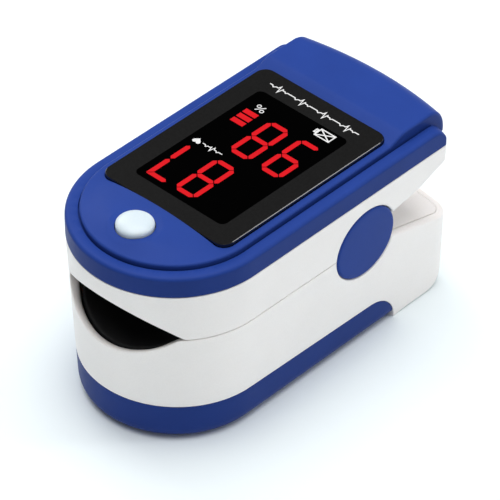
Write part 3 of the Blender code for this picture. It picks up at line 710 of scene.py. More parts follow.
def case_floor():
    """The floor behind the battery door, which follows the round rear edge up to mid wall."""
    tuck, mid_wall = 0.02, WALL / 2
    side = float(half_width(2.0)) - mid_wall
    corner = LOWER_CORNER_R - mid_wall
    middle = np.linspace(corner - side, side - corner, 13)
    across = np.concatenate((np.linspace(-side, corner - side, 8)[:-1], middle,
                             np.linspace(side - corner, side, 8)[1:]))
    turn_in = np.maximum(np.abs(across) - (side - corner), 0)
    pull = corner - np.sqrt(np.maximum(corner ** 2 - turn_in ** 2, 0))
    start = DOOR_REAR_Y + DOOR_SEAM
    end = LOWER_REAR - mid_wall - sag(across) - pull
    share = np.linspace(0, 1, 17)[:, None]
    y = start + (end - start) * share
    z = rear_bottom(across, y) + tuck
    low = np.stack((np.broadcast_to(across, y.shape), y, z), 2)
    return slab("floor", low, low + (0, 0, FLOOR_THICK))


def make_lower_case():
    run = DOOR_REAR_Y - DOOR_SHOULDER_Y + DOOR_SEAM
    door_end = [DOOR_SHOULDER_Y + run * sin(a) for a in fan(0, 90, 24)]
    plan = Plan(LOWER_REAR, LOWER_CORNER_R, [PARTING_BEND_Y, TAIL_START_Y, *door_end])
    x, y = plan.at(np.full(plan.count, LOWER_HIGH.z), 0)
    line = np.interp(y, *LOWER_EDGE)
    mouth = smoothstep(0, 2.0, line - lower_parting(x, y))
    tail = smoothstep(TAIL_START_Y, TAIL_START_Y + 2, y)
    foot = smoothstep(DOOR_REAR_Y - 0.5, DOOR_REAR_Y + 2.5, y)
    radii = (0.12 + 0.5 * foot, 0.12, 0.14 + 0.86 * mouth + 0.3 * tail,
             0.14 + 0.16 * mouth + 0.35 * tail)
    case = wall("lower_case_shell", plan, rear_bottom, lower_parting, radii)
    boolean(case, "UNION", case_floor())
    for sign in (-1, 1):
        boolean(case, "UNION", ear("lower_ear", sign, **LOWER_EAR), recess_floor(sign))
        boolean(case, "DIFFERENCE", cap_recess(sign))
    return dress(case, "lower_jaw", WHITE, "body_white", "lower_case")


def tail_cover(name, edge, rear, corner_r, facing):
    """The inset plate on a tail's sloped face, which follows the walls round it. facing is 1 up."""
    front, gap, thick, drop = 15.3, 0.07, 1.2, 0.05
    around = WALL + gap
    bends = [y for y in edge[0] if front < y < rear - around]
    bends = [(y - front) / (rear - REAR_ZONE / 2 - front) for y in bends]
    shares = np.unique(np.concatenate((np.linspace(0, 1, 15), bends)))

    def half_ring(inset, height):
        """From the front of the +X side round to the middle of the rear."""
        z_mean = np.interp((front + rear) / 2, *edge)
        side = float(half_width(z_mean)) - around - inset
        corner = max(corner_r - around - inset, 0.25)
        rear_y = rear - around - inset
        start_y = front + inset
        end_y = rear_y - corner - float(sag(side))
        points = [(side, start_y + (end_y - start_y) * t) for t in shares]
        turn = [(side - corner * c, rear_y - corner * s) for c, s in fillet(0, 90, 8)[1:]]
        turn += [((side - corner) * t, rear_y) for t in np.linspace(0.88, 0, 10)]
        points += [(x, y - float(sag(x))) for x, y in turn]
        return [(x, y, float(np.interp(y, *edge)) + facing * height) for x, y in points]

    heights = [(0.0, -thick), (0.0, -drop - 0.1), (0.04, -drop - 0.03), (0.12, -drop)]
    rings = []
    for inset, height in heights:
        right = half_ring(inset, height)
        rings.append(right + [(-x, y, z) for x, y, z in right[-2::-1]])
    count = len(rings[0])
    half = count // 2
    points = [p for ring in rings for p in ring]
    faces = grid_faces(len(rings), count)
    for start in (0, (len(rings) - 1) * count):
        for i in range(half):
            a, b, c, d = start + i, start + i + 1, start + count - 2 - i, start + count - 1 - i
            faces.append((a, b, c, d) if b != c else (a, b, d))
    return make_mesh(name, points, faces)


def make_tail_plates():
    plate = tail_cover("lower_tail_cover", LOWER_EDGE, LOWER_REAR, LOWER_CORNER_R, 1)
    dress(plate, "lower_jaw", WHITE, "body_white", "lower_tail_plate")
    plate = tail_cover("upper_tail_cover", UPPER_EDGE, UPPER_REAR, UPPER_CORNER_R, -1)
    edge_y, edge_z = UPPER_EDGE
    slope = (edge_z[3] - edge_z[2]) / (edge_y[3] - edge_y[2])
    foot_z = float(np.interp(TAIL_SCREW_Y, *UPPER_EDGE)) + SEAT_LIFT
    for node in ("tail_screw_left", "tail_screw_right"):
        low, high = mm_box(node)
        seat = turned("seat", [(0, -3), (SEAT_R, -3), (SEAT_R, SEAT_DEPTH), (SEAT_HOLE_R, SEAT_DEPTH),
                               (SEAT_HOLE_R, 4), (0, 4)], 48)
        foot = Vector(((low.x + high.x) / 2, TAIL_SCREW_Y, foot_z))
        boolean(plate, "DIFFERENCE", place(seat, foot, Vector((0, -slope, 1)).normalized()))
    dress(plate, "upper_jaw", WHITE, "body_white", "upper_tail_plate")


# ---------- blue lid

def rim_drop(x, y, z):
    """The rim's rear end rounds down in side view: heights close up towards its bottom edge."""
    reach = np.clip(y + sag(x) - (UPPER_REAR - RIM_REAR_R), 0, RIM_REAR_R)
    fall = RIM_REAR_R - np.sqrt(np.maximum(RIM_REAR_R ** 2 - reach ** 2, 0))
    tall = RIM_TOP_Z - COVER_Z
    return COVER_Z + (z - COVER_Z) * (tall - fall) / tall


def lid_rim(plan):
    sections = [(0.10, COVER_Z), (0.0, COVER_Z + 0.1)]
    sections += [(RIM_ROUND * c, RIM_TOP_Z - RIM_ROUND * s) for c, s in fillet(0, 90, 7)]
    groove = TIER_INSET - 0.2
    deep_z = RIM_TOP_Z - GROOVE_DEEP
    sections += [(groove - 0.05, RIM_TOP_Z), (groove, RIM_TOP_Z - 0.03), (groove + 0.05, deep_z),
                 (TIER_INSET + 0.3, deep_z), (2.8, RIM_TOP_Z - 1.2)]
    rings = []
    for inset, z in sections:
        ring = plan.ring(z, inset, HALF_WIDTH)
        ring[:, 2] = rim_drop(ring[:, 0], ring[:, 1], z)
        rings.append(ring)
    return lofted("lid", rings)


def lid_tier():
    plan = Plan(TIER_REAR, UPPER_CORNER_R)
    sections = [(TIER_INSET, RIM_TOP_Z - 1.6), (TIER_INSET, TIER_TOP_Z - TIER_ROUND)]
    sections += [(TIER_INSET + TIER_ROUND * c, TIER_TOP_Z - TIER_ROUND * s)
                 for c, s in fillet(15, 90, 5)]
    return lofted("tier", [plan.ring(z, inset, HALF_WIDTH) for inset, z in sections])


def lid_tail():
    """The raised plateau: its side profile swept across, with round side edges and a bowed rear."""
    width = HALF_WIDTH - TIER_INSET - 0.02
    front, ramp_start, ramp_end = 16.0, 16.8, 20.4
    under, nose_z = 28.1, 29.0
    round_y, nose_r = 25.4, 0.45
    rise = TAIL_TOP_Z - TIER_TOP_Z
    loop = [(front, under + 0.8), (UPPER_REAR - 1.5, under + 0.8), (UPPER_REAR - 1.3, under),
            (TAIL_REAR_Y - nose_r, under)]
    loop += [(TAIL_REAR_Y - nose_r + nose_r * sin(a), under + nose_r * (1 - cos(a)))
             for a in fan(18, 78, 4)]
    side_round = TAIL_REAR_Y - TAIL_SAG - round_y
    loop += [(TAIL_REAR_Y - side_round * (1 - cos(a)), nose_z + (TAIL_TOP_Z - nose_z) * sin(a))
             for a in fan(0, 90, 16)]
    loop += [(22.2, TAIL_TOP_Z), (ramp_end + 0.35, TAIL_TOP_Z)]
    for share in np.linspace(0.96, 0.04, 12):
        y = ramp_start + (ramp_end - ramp_start) * share
        loop.append((y, TIER_TOP_Z - 0.006 + (rise + 0.006) * float(smoothstep(0, 1, share))))
    loop += [(ramp_start, TIER_TOP_Z - 0.006), (front, TIER_TOP_Z - 0.006)]
    loop = np.array(loop)
    bow = smoothstep(21.5, 26.5, loop[:, 0])
    corner = 0.5

    def section(x, inset):
        """The profile at one place across, pulled forward towards the plan's rear corners."""
        points = offset_loop(loop, inset)
        turn_in = max(abs(x) - (width - corner), 0)
        shift = TAIL_SAG * (x / width) ** 2 + corner - sqrt(max(corner ** 2 - turn_in ** 2, 0))
        return np.stack((np.full(len(loop), x), points[:, 0] - shift * bow, points[:, 1]), 1)

    edge = [(width - TIER_ROUND * c, TIER_ROUND * s) for c, s in fillet(0, 90, 5)]
    inner = np.concatenate((np.linspace(0, width - corner, 14), [width - (corner + TIER_ROUND) / 2]))
    sections = [(-x, inset) for x, inset in edge] + [(-x, 0) for x in inner[::-1]]
    sections += [(x, 0) for x in inner[1:]] + edge[::-1]
    return lofted("tail", [section(x, inset) for x, inset in sections])


def crown(x, y):
    """The lid swells gently round the button, and comes level again at its own edge."""
    swell = np.maximum(CROWN - CROWN_FALL * (x / 10) ** 2, 0)
    out = np.where(y < FRONT_CENTRE_Y, np.hypot(x, y - FRONT_CENTRE_Y), np.abs(x))
    inside = smoothstep(*CROWN_EDGE, HALF_WIDTH - TIER_INSET - out)
    return swell * inside * (1 - smoothstep(*CROWN_REAR, y))


def crowned(obj):
    """Lifts what lies at the tier's height by the crown."""
    count = len(obj.data.vertices)
    flat = np.empty(count * 3)
    obj.data.vertices.foreach_get("co", flat)
    points = flat.reshape(-1, 3) / MM
    share = smoothstep(RIM_TOP_Z + 0.1, TIER_TOP_Z - 0.2, points[:, 2])
    points[:, 2] += share * crown(points[:, 0], points[:, 1])
    obj.data.vertices.foreach_set("co", (points * MM).ravel())
    obj.data.update()
    return obj


def sliced(obj, xs, ys):
    """Cuts every face along planes across X and Y, so that a flat top can take a curve."""

    def cut(work):
        for axis, places in (((1, 0, 0), xs), ((0, 1, 0), ys)):
            for value in places:
                everything = work.verts[:] + work.edges[:] + work.faces[:]
                bmesh.ops.bisect_plane(work, geom=everything, dist=SAME_POINT / 2 * MM,
                                       plane_co=Vector(axis) * value * MM, plane_no=Vector(axis))

    edited(obj.data, cut)


def lens_recess():
    """The window's pocket, with its top edge eased."""
    low, high = LENS_LOW.xy, LENS_HIGH.xy
    ease, floor_z = 0.05, LENS_LOW.z - 0.3
    sections = [(LENS_GAP, floor_z), (LENS_GAP, TIER_TOP_Z - ease), (LENS_GAP + ease, TIER_TOP_Z + 0.01),
                (LENS_GAP + ease, TAIL_TOP_Z + 1)]
    return lofted("recess", [inset_rectangle(low, high, LENS_CORNER_R, -out, z) for out, z in sections])


def button_cut():
    """The button's hole with a rounded lip, in a shallow dished ring."""
    x, y = 0.0, (BUTTON_LOW.y + BUTTON_HIGH.y) / 2
    radius, lip, dish_r, dish_deep = BUTTON_R + 0.1, 0.1, 4.1, 0.12
    dish_z = TIER_TOP_Z - dish_deep
    profile = [(0, COVER_Z - 1), (radius, COVER_Z - 1), (radius, dish_z - lip)]
    profile += [(radius + lip * c, dish_z - lip * s) for c, s in fillet(25, 75, 3)]
    for share in np.linspace(0.12, 1.0, 7):
        z = TIER_TOP_Z - dish_deep * (1 - float(smoothstep(0, 1, share))) + 0.004 * share
        profile.append((radius + lip + (dish_r - radius - lip) * share, z))
    profile += [(dish_r + 0.1, TIER_TOP_Z + 0.05), (dish_r + 0.1, TIER_TOP_Z + 2), (0, TIER_TOP_Z + 2)]
    return place(turned("button_cut", profile, 96), (x, y, 0))


def make_lid():
    plan = Plan(UPPER_REAR, UPPER_CORNER_R)
    lid = lid_rim(plan)
    boolean(lid, "UNION", lid_tier(), lid_tail())
    sliced(lid, np.arange(-12.5, 12.6, 1.25), np.arange(-25.5, -3.0, 1.25))
    shelf_z, ceiling, upper_inset, ledge = 28.1, 29.8, 2.6, Vector((1.5, 1.5))
    inner = lofted("inner", [plan.ring(z, WALL, HALF_WIDTH) for z in (COVER_Z - 2, shelf_z)])
    upper = lofted("inner", [plan.ring(z, upper_inset, HALF_WIDTH) for z in (shelf_z - 0.1, ceiling)])
    rectangle = rounded_rectangle(LENS_LOW.xy + ledge, LENS_HIGH.xy - ledge, 1.0)
    opening = prism("opening", rectangle, 27, 36)
    boolean(lid, "DIFFERENCE", inner, upper, lens_recess(), opening, button_cut())
    crowned(lid)
    return dress(lid, "upper_jaw", BLUE, "body_blue", "top_cover", sharp=32)


# ---------- window, readout and button

FRAME_SIDE = LENS_HIGH.x - 8.75
FRAME_FRONT = -12.6 - LENS_LOW.y
FRAME_REAR = LENS_HIGH.y - 13.5
MARK_Z = LENS_HIGH.z + 0.004
MARK_THICK = 0.03


def make_window():
    low, high, edge = LENS_LOW.xy, LENS_HIGH.xy, 0.08
    inner_low = (low[0] + FRAME_SIDE, low[1] + FRAME_FRONT)
    inner_high = (high[0] - FRAME_SIDE, high[1] - FRAME_REAR)
    steps = ((0.1, LENS_LOW.z), (0.0, LENS_LOW.z + 0.1), (0.0, LENS_HIGH.z - edge), (edge, LENS_HIGH.z))
    rings = [inset_rectangle(low, high, LENS_CORNER_R, inset, z) for inset, z in steps]
    rings += [inset_rectangle(inner_low, inner_high, 1.0, inset, LENS_HIGH.z) for inset in (0.0, 0.3)]
    window = dress(lofted("display_glass", rings), "upper_jaw", [LENS_EDGE, LENS_FRAME, LENS_INNER],
                   "display_glass", "display_window")
    for face in window.data.polygons:
        x, y, z = face.center / MM
        on_top = abs(face.normal.z) > 0.95 and z > LENS_HIGH.z - 0.01
        inside = inner_low[0] < x < inner_high[0] and inner_low[1] < y < inner_high[1]
        face.material_index = on_top * (1 + inside)


class Marks:
    """Flat lit marks gathered into one piece. Reading direction is -X and up is -Y."""

    def __init__(self, right_at, up_at):
        self.origin = (right_at, up_at)
        self.points = []
        self.faces = []

    def shape(self, outline):
        """A closed solid from an outline in reading coordinates."""
        start, count = len(self.points), len(outline)
        for z in (MARK_Z, MARK_Z + MARK_THICK):
            self.points += [(self.origin[0] - u, self.origin[1] - v, z) for u, v in outline]
        self.faces.append(tuple(range(start, start + count)))
        self.faces.append(tuple(range(start + count, start + 2 * count))[::-1])
        for i in range(count):
            k = (i + 1) % count
            self.faces.append((start + i, start + count + i, start + count + k, start + k))

    def bar(self, a, b, wide):
        a, b = np.array(a, float), np.array(b, float)
        along = (b - a) / np.linalg.norm(b - a)
        side = np.array((-along[1], along[0])) * wide / 2
        self.shape([a + side, b + side, b - side, a - side])

    def line(self, points, wide):
        """A line of even width with mitred bends, which closes up if it ends where it starts."""
        points = np.asarray(points, float)
        closed = bool(np.allclose(points[0], points[-1]))
        ahead = np.diff(points, axis=0)
        ahead /= np.linalg.norm(ahead, axis=1, keepdims=True)
        normal = np.stack((-ahead[:, 1], ahead[:, 0]), 1)
        if closed:
            points = points[:-1]
            corner = normal + np.roll(normal, 1, 0)
        else:
            corner = np.vstack((normal[:1], normal[:-1] + normal[1:], normal[-1:]))
            normal = np.vstack((normal, normal[-1:]))
        corner /= np.linalg.norm(corner, axis=1, keepdims=True)
        lean = np.sum(corner * normal, 1)
        reach = corner * (wide / 2 / np.maximum(lean, 0.35))[:, None]
        start, count = len(self.points), len(points)
        for left, right in zip(points + reach, points - reach):
            for (u, v), lift in ((left, 0), (right, 0), (right, MARK_THICK), (left, MARK_THICK)):
                self.points.append((self.origin[0] - u, self.origin[1] - v, MARK_Z + lift))
        self.faces += grid_faces(count, 4, wrap_rows=closed, start=start)
        if not closed:
            last = start + 4 * (count - 1)
            self.faces += [tuple(range(start, start + 4))[::-1], tuple(range(last, last + 4))]

    def outline_box(self, low, high, wide):
        (x0, y0), (x1, y1) = low, high
        self.line([(x0, y0), (x1, y0), (x1, y1), (x0, y1), (x0, y0)], wide)

    def piece(self, name, material):
        mesh = make_mesh(name, self.points, self.faces, tidy=False)
        return dress(mesh, "upper_jaw", material, "display_glass", sharp=30)


DIGIT_WIDTH = 4.1
DIGIT_HEIGHT = 9.1
SEGMENT_WIDE = 0.8
SEGMENT_SPACE = 0.1
SEGMENTS = {
    "a": ((0, 1), (1, 1)), "b": ((1, 1), (1, 0.5)), "c": ((1, 0.5), (1, 0)), "d": ((1, 0), (0, 0)),
    "e": ((0, 0), (0, 0.5)), "f": ((0, 0.5), (0, 1)), "g": ((0, 0.5), (1, 0.5)),
}
LIT = {"7": "abc", "8": "abcdefg", "9": "abcdfg"}


def make_digit(character, centre, name):
    """One seven-segment digit of long hexagons. A seven's corner is mitred instead."""
    marks = Marks(centre[0], centre[1])
    for key in LIT[character]:
        ends = np.array(SEGMENTS[key], float)
        a, b = (ends - 0.5) * (DIGIT_WIDTH, DIGIT_HEIGHT)
        if key == "g":
            a, b = a + (SEGMENT_WIDE / 2, 0), b - (SEGMENT_WIDE / 2, 0)
            a[1] = b[1] = SEGMENT_WIDE / 2
        along = (b - a) / np.linalg.norm(b - a)
        inward = np.array((along[1], -along[0])) * SEGMENT_WIDE
        outline = []
        for end, way, (u, v) in ((a, along, ends[0]), (b, -along, ends[1])):
            back = SEGMENT_SPACE if v == 0.5 else SEGMENT_SPACE + SEGMENT_WIDE / 2
            tip = end + way * back + inward / 2
            shoulder = tip + way * SEGMENT_WIDE / 2
            cut = [shoulder - inward / 2, tip, shoulder + inward / 2]
            if character == "7" and u == 1 and v == 1:
                outer = end + way * SEGMENT_SPACE
                cut = [outer, outer + way * SEGMENT_WIDE + inward]
            outline = outline[::-1] + cut
        marks.shape(outline)
    return marks.piece(name, LED_RED)


def make_readout():
    digits = {"digit_upper_9": (5.35, 4.75), "digit_upper_8": (-0.6, 4.75),
              "digit_lower_8": (-0.25, -6.75), "digit_lower_7": (-5.35, -6.95)}
    for name, centre in digits.items():
        make_digit(name[-1], centre, name)
    level = Marks(-5.9, 7.15)
    for step in (-1, 0, 1):
        level.bar((-1.22, step * 1.3), (1.22, step * 1.3), 0.95)
    level.piece("level_bars", LED_RED)

    cell = Marks(5.35, 12.05)
    cell.outline_box((-1.35, -0.8), (1.35, 0.8), 0.2)
    for rise in (0.7, -0.7):
        cell.bar((-1.25, -rise), (1.25, rise), 0.2)
    cell.outline_box((1.55, -0.38), (1.85, 0.38), 0.2)
    cell.piece("battery_mark", PRINT_WHITE)

    heart = Marks(-7.1, -1.35)
    turns = np.linspace(0, 2 * pi, 40, endpoint=False)
    size = 0.043
    heart.shape([(16 * size * sin(t) ** 3,
                  size * (13 * cos(t) - 5 * cos(2 * t) - 2 * cos(3 * t) - cos(4 * t))) for t in turns])
    heart.piece("heart_mark", PRINT_WHITE)

    beat = Marks(-4.2, -1.3)
    beat.line([(-1.9, -0.1), (-1.2, -0.1), (-0.95, 0.15), (-0.7, -0.1), (-0.35, -0.1), (-0.15, -0.45),
               (0.1, 0.55), (0.35, -0.3), (0.5, -0.1), (0.9, -0.1), (1.15, 0.2), (1.4, -0.1),
               (1.9, -0.1)], 0.14)
    beat.piece("beat_mark", PRINT_WHITE)

    percent = Marks(-5.6, 10.2)
    ring = [(0.3 * cos(a), 0.3 * sin(a)) for a in np.linspace(0, 2 * pi, 17)]
    for u, v in ((-0.55, 0.35), (0.55, -0.35)):
        percent.line([(u + x, v + y) for x, y in ring], 0.13)
    percent.bar((-0.55, -0.65), (0.55, 0.65), 0.15)
    percent.piece("percent_mark", PRINT_WHITE)

    trace = Marks(0.0, 15.55)
    points = []
    for beat_at in (-6.6, -2.2, 2.2, 6.6):
        points += [(beat_at + u, v) for u, v in (
            (-2.1, 0), (-1.35, 0), (-1.1, 0.22), (-0.85, 0), (-0.45, 0), (-0.3, -0.2), (0.0, 0.85),
            (0.3, -0.5), (0.5, 0), (0.9, 0), (1.25, 0.3), (1.6, 0), (2.1, 0))]
    trace.line(points, 0.17)
    trace.piece("pulse_trace", PRINT_WHITE)


def make_button():
    """A domed button whose skirt drops into a flange under the lid."""
    radius, flange_r = BUTTON_R, (BUTTON_HIGH.x - BUTTON_LOW.x) / 2
    top, shoulder = BUTTON_HIGH.z, BUTTON_HIGH.z - 1.0
    flange_z = BUTTON_LOW.z + 0.5
    profile = [(0, BUTTON_LOW.z), (flange_r - 0.1, BUTTON_LOW.z), (flange_r, BUTTON_LOW.z + 0.1),
               (flange_r, flange_z - 0.1), (flange_r - 0.1, flange_z), (radius + 0.1, flange_z),
               (radius, flange_z + 0.1)]
    power = 2.6
    for a in fan(0, 88, 18):
        profile.append((radius * cos(a) ** (2 / power),
                        shoulder + (top - shoulder) * sin(a) ** (2 / power)))
    profile.append((0, top))
    button = place(turned("button_dome", profile, 96), (0, (BUTTON_LOW.y + BUTTON_HIGH.y) / 2, 0))
    return dress(button, "power_button", BUTTON_WHITE, "button_white", "power_button", sharp=50)


# ---------- finger pads

# Each pad: its node, its body, the trough's deepest height, 1 if it opens upward, and the heights
# of the pocket for its sensor or emitter.
PADS = {
    "lower_pad_skin": ("lower_finger_pad", "lower_jaw", 15.2, 1, (12.0, 14.5)),
    "upper_pad_skin": ("upper_finger_pad", "upper_jaw", 24.0, -1, (25.1, 27.0)),
}
POCKET_HALF_WIDTH, POCKET_AHEAD = 5, 5.5
SENSOR_HOLE_R = 1.8


def make_pad(name, node, body, trough_z, sign, pocket):
    """A moulded silicone trough for the finger.

    Rows run across the jaw from the finger stop to the middle of the front arc, and a fan of
    the same insets closes the round front.
    """
    inset, trough_r, stop_y, edge_r = 1.6, 15.0, 2.0, 0.5
    low, high = mm_box(node)
    face_z, back_z = (high.z, low.z) if sign > 0 else (low.z, high.z)
    side = float(half_width((low.z + high.z) / 2)) - inset
    insets = np.concatenate((edge_r * (1 - np.cos(fan(0, 90, 5))), np.linspace(1.0, side - 0.8, 14)))
    rear_y = high.y - edge_r * (1 - np.sin(fan(15, 90, 4)))
    rows_y = np.concatenate((np.arange(FRONT_CENTRE_Y, stop_y - 1.2, 0.8),
                             stop_y + np.linspace(-1.2, 0.3, 9), [high.y - edge_r], rear_y))

    def face(x, y, depth):
        arc_z = trough_z + sign * (trough_r - sqrt(max(trough_r ** 2 - x * x, 0)))
        ramp_in = float(smoothstep(stop_y - 1.1, stop_y + 0.1, y))
        z = arc_z + (face_z - arc_z) * ramp_in
        z = min(z, face_z) if sign > 0 else max(z, face_z)
        rear_depth = max(high.y - y, 0) if y > stop_y else edge_r
        for d in (depth, rear_depth):
            if d < edge_r:
                z -= sign * (edge_r - sqrt(edge_r ** 2 - (edge_r - d) ** 2))
        return z

    across = np.concatenate((side - insets, [0.0], -(side - insets[::-1])))
    depths = np.concatenate((insets, [side], insets[::-1]))
    angles = fan(180, 360, 72)[1:-1]
    columns, spokes, turns = len(across), len(insets), len(angles) + 1
    points = [(x, y, face(x, y, d)) for y in rows_y for x, d in zip(across, depths)]
    fan_start = len(points)
    for a in angles:
        for d in insets:
            x, y = (side - d) * cos(a), FRONT_CENTRE_Y + (side - d) * sin(a)
            points.append((x, y, face(x, y, d)))

    def spoke(k, i):
        """The i-th point in from the rim on spoke k. The first and last lie on the front row."""
        if k == 0:
            return columns - 1 - i
        return i if k == turns else fan_start + (k - 1) * spokes + i

    faces = grid_faces(len(rows_y), columns, wrap_columns=False)
    for k in range(turns):
        for i in range(spokes - 1):
            faces.append((spoke(k, i), spoke(k + 1, i), spoke(k + 1, i + 1), spoke(k, i + 1)))
        faces.append((spoke(k, spokes - 1), spoke(k + 1, spokes - 1), spokes))
    last = len(rows_y) - 1
    rim = [spoke(k, 0) for k in range(turns + 1)] + [j * columns for j in range(1, last + 1)]
    rim += [last * columns + i for i in range(1, columns)]
    rim += [j * columns + columns - 1 for j in range(last - 1, 0, -1)]
    count = len(points)
    points += [(x, y, back_z) for x, y, _ in points]
    faces += [tuple(i + count for i in f) for f in faces]
    faces += [(a, b, b + count, a + count) for a, b in zip(rim, rim[1:] + rim[:1])]
    pad = make_mesh(name, points, faces)
    sensor_y = (DIODE_LOW.y + DIODE_HIGH.y) / 2
    room = block("pocket", (-POCKET_HALF_WIDTH, sensor_y - POCKET_AHEAD, pocket[0]),
                 (POCKET_HALF_WIDTH, high.y + 1, pocket[1]))
    hole = turned("hole", drum(SENSOR_HOLE_R, low.z - 2, high.z + 2), 48)
    boolean(pad, "DIFFERENCE", room, place(hole, (0, sensor_y, 0)))
    return dress(pad, body, PAD_BLACK, "pad_rubber", node)


# ---------- hinge caps, springs, ribbon

def make_caps():
    for side, sign in (("left", -1), ("right", 1)):
        edge, proud, thick = 0.4, 0.06, 1.2
        profile = [(0, proud - thick), (CAP_R - 0.1, proud - thick), (CAP_R, proud - thick + 0.1)]
        profile += [(CAP_R - edge * c, proud - edge * s) for c, s in fillet(0, 90, 6)]
        profile += [(CAP_R - 1.0, proud + 0.015), (CAP_R * 0.5, proud + 0.05), (0, proud + 0.06)]
        centre = (sign * half_width(HINGE_Z), HINGE_Y, HINGE_Z)
        cap = place(turned(f"hinge_disc_{side}", profile, 128), centre, side_normal(sign))
        dress(cap, "lower_jaw", CAP_BLUE, "body_blue", f"hinge_cap_{side}", sharp=50)


def swept(name, points, radius, steps=10):
    """A round wire through points, with closed ends."""
    points = [Vector(p) for p in points]
    rings, across = [], None
    for i, point in enumerate(points):
        along = (points[min(i + 1, len(points) - 1)] - points[max(i - 1, 0)]).normalized()
        if across is None:
            across = along.orthogonal().normalized()
        across = (across - along * across.dot(along)).normalized()
        other = along.cross(across)
        rings.append([point + (across * cos(a) + other * sin(a)) * radius
                      for a in np.linspace(0, 2 * pi, steps, endpoint=False)])
    return lofted(name, [[tuple(p) for p in ring] for ring in rings])


def make_torsion_springs():
    """Coils round the pin with an arm into each tail."""
    coil_x, coil_r, wire_r, turns, per_turn = (4.2, 8.0), 2.3, 0.35, 4, 36
    rise, fall = 0.38, -0.36
    arm_up, arm_down = 9.0, 8.0
    start = 90 + degrees(atan2(rise, 1))
    end = 270 + degrees(atan2(fall, 1)) + 360 * turns
    for side, sign in (("left", -1), ("right", 1)):
        count = int((end - start) / 360 * per_turn)
        points = []
        for i in range(count + 1):
            share = i / count
            angle = radians(start + (end - start) * share)
            points.append((sign * (coil_x[0] + (coil_x[1] - coil_x[0]) * share),
                           HINGE_Y + coil_r * cos(angle), HINGE_Z + coil_r * sin(angle)))
        first, last = points[0], points[-1]
        points.insert(0, (first[0], first[1] + arm_up, first[2] + rise * arm_up))
        points.append((last[0], last[1] + arm_down, last[2] + fall * arm_down))
        spring = swept(f"jaw_spring_{side}", points, wire_r)
        dress(spring, None, STEEL, "spring_steel", f"torsion_spring_{side}", sharp=60)
        spring.modifiers.clear()
        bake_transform(spring)


def make_flex_cable():
    """A polyimide ribbon that rises in front of the pin."""
    half, thick, bend_r = 2.5, 0.2, 1.6
    rise_y, low_z, high_z = 6.6, FLEX_LOW.z + 0.12, FLEX_HIGH.z
    path = [(FLEX_LOW.y, low_z), (0.0, low_z), (3.0, low_z)]
    path += [(rise_y - bend_r + bend_r * sin(a), low_z + bend_r * (1 - cos(a))) for a in fan(0, 90, 8)]
    path += [(rise_y, z) for z in np.linspace(low_z + bend_r + 0.6, high_z, 16)]
    rings = []
    for i, (y, z) in enumerate(path):
        before, after = path[max(i - 1, 0)], path[min(i + 1, len(path) - 1)]
        along = np.array((after[0] - before[0], after[1] - before[1]))
        along /= np.linalg.norm(along)
        dy, dz = -along[1] * thick / 2, along[0] * thick / 2
        corners = ((-half, -1), (half, -1), (half, 1), (-half, 1))
        rings.append([(x, y + way * dy, z + way * dz) for x, way in corners])
    ribbon = lofted("flex_ribbon", rings)
    dress(ribbon, None, FLEX_AMBER, "flex_amber", "flex_cable", sharp=40)
    ribbon.modifiers.clear()
    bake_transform(ribbon)


# ---------- battery door

def make_door():
    plan = Plan(DOOR_REAR_Y + 12, UPPER_CORNER_R)
    edge = 2.3
    top_z = DOOR_HIGH.z + 1
    sections = [(edge * s, edge * c) for c, s in fillet(0, 90, 6)]
    door = lofted("door_band", [plan.ring(z, inset) for inset, z in sections + [(0, top_z)]])
    inner = [(DOOR_WALL + 0.5 * s, DOOR_FLOOR + 0.5 * c) for c, s in fillet(0, 90, 4)]
    hollow_plan = Plan(DOOR_REAR_Y + 18, UPPER_CORNER_R)
    inner.append((DOOR_WALL, top_z + 2))
    cavity = lofted("cavity", [hollow_plan.ring(z, inset) for inset, z in inner])
    front = LOWER_LOW.y - 3
    stations = [front, DOOR_SHOULDER_Y - 8]
    stations += [DOOR_SHOULDER_Y + (DOOR_REAR_Y - DOOR_SHOULDER_Y) * sin(a) for a in fan(0, 84, 21)]
    outline = [(y, float(door_edge(np.array(y)))) for y in stations]
    outline += [(DOOR_REAR_Y, 0.35), (DOOR_REAR_Y, -1), (front, -1)]
    boolean(door, "DIFFERENCE", cavity)
    boolean(door, "INTERSECT", prism("profile", outline[::-1], -18, 18, "X"))
    for sign in (-1, 1):
        near, far = sorted(sign * x for x in RAIL_X)
        boolean(door, "UNION", block("rail", (near, RAIL_Y[0], RAIL_Z[0]), (far, RAIL_Y[1], RAIL_Z[1])))
    for i in range(GROOVES):
        y = GROOVE_START_Y + i * GROOVE_PITCH
        reach = GROOVE_REACH - abs(i - GROOVES // 2) * GROOVE_TAPER
        ends = [(reach, y, GROOVE_Z), (-reach, y, GROOVE_Z)]
        boolean(door, "DIFFERENCE", swept("groove", ends, GROOVE_R, 16))
    step = door.modifiers.new("soft edges", "BEVEL")
    step.width = 0.1 * MM
    step.segments = 2
    step.limit_method = "ANGLE"
    step.angle_limit = radians(50)
    return dress(door, "battery_door", BLUE, "body_blue", "battery_door", sharp=35)


# ---------- CAD nodes that stay

def repaint_nodes():
    looks = (
        (FRAME_WHITE, "inner_frame"), (DISPLAY_BLACK, "display_module"), (CLEAR_RESIN, "emitter_led"),
        (GREEN_BOARD, "sensor_board main_board emitter_board"), (CHIP_BLACK, "photodiode control_chip"),
        (STEEL, "battery_spring_left battery_spring_right hinge_pin tact_switch"),
        (STEEL, "tail_screw_left tail_screw_right"), (CELL_JACKET, "battery_left battery_right"),
        (NICKEL, "contact_plate_front contact_plate_rear_left contact_plate_rear_right"),
    )
    for material, names in looks:
        for name in names.split():
            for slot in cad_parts[name].material_slots:
                slot.material = material


# ---------- stage, light, camera

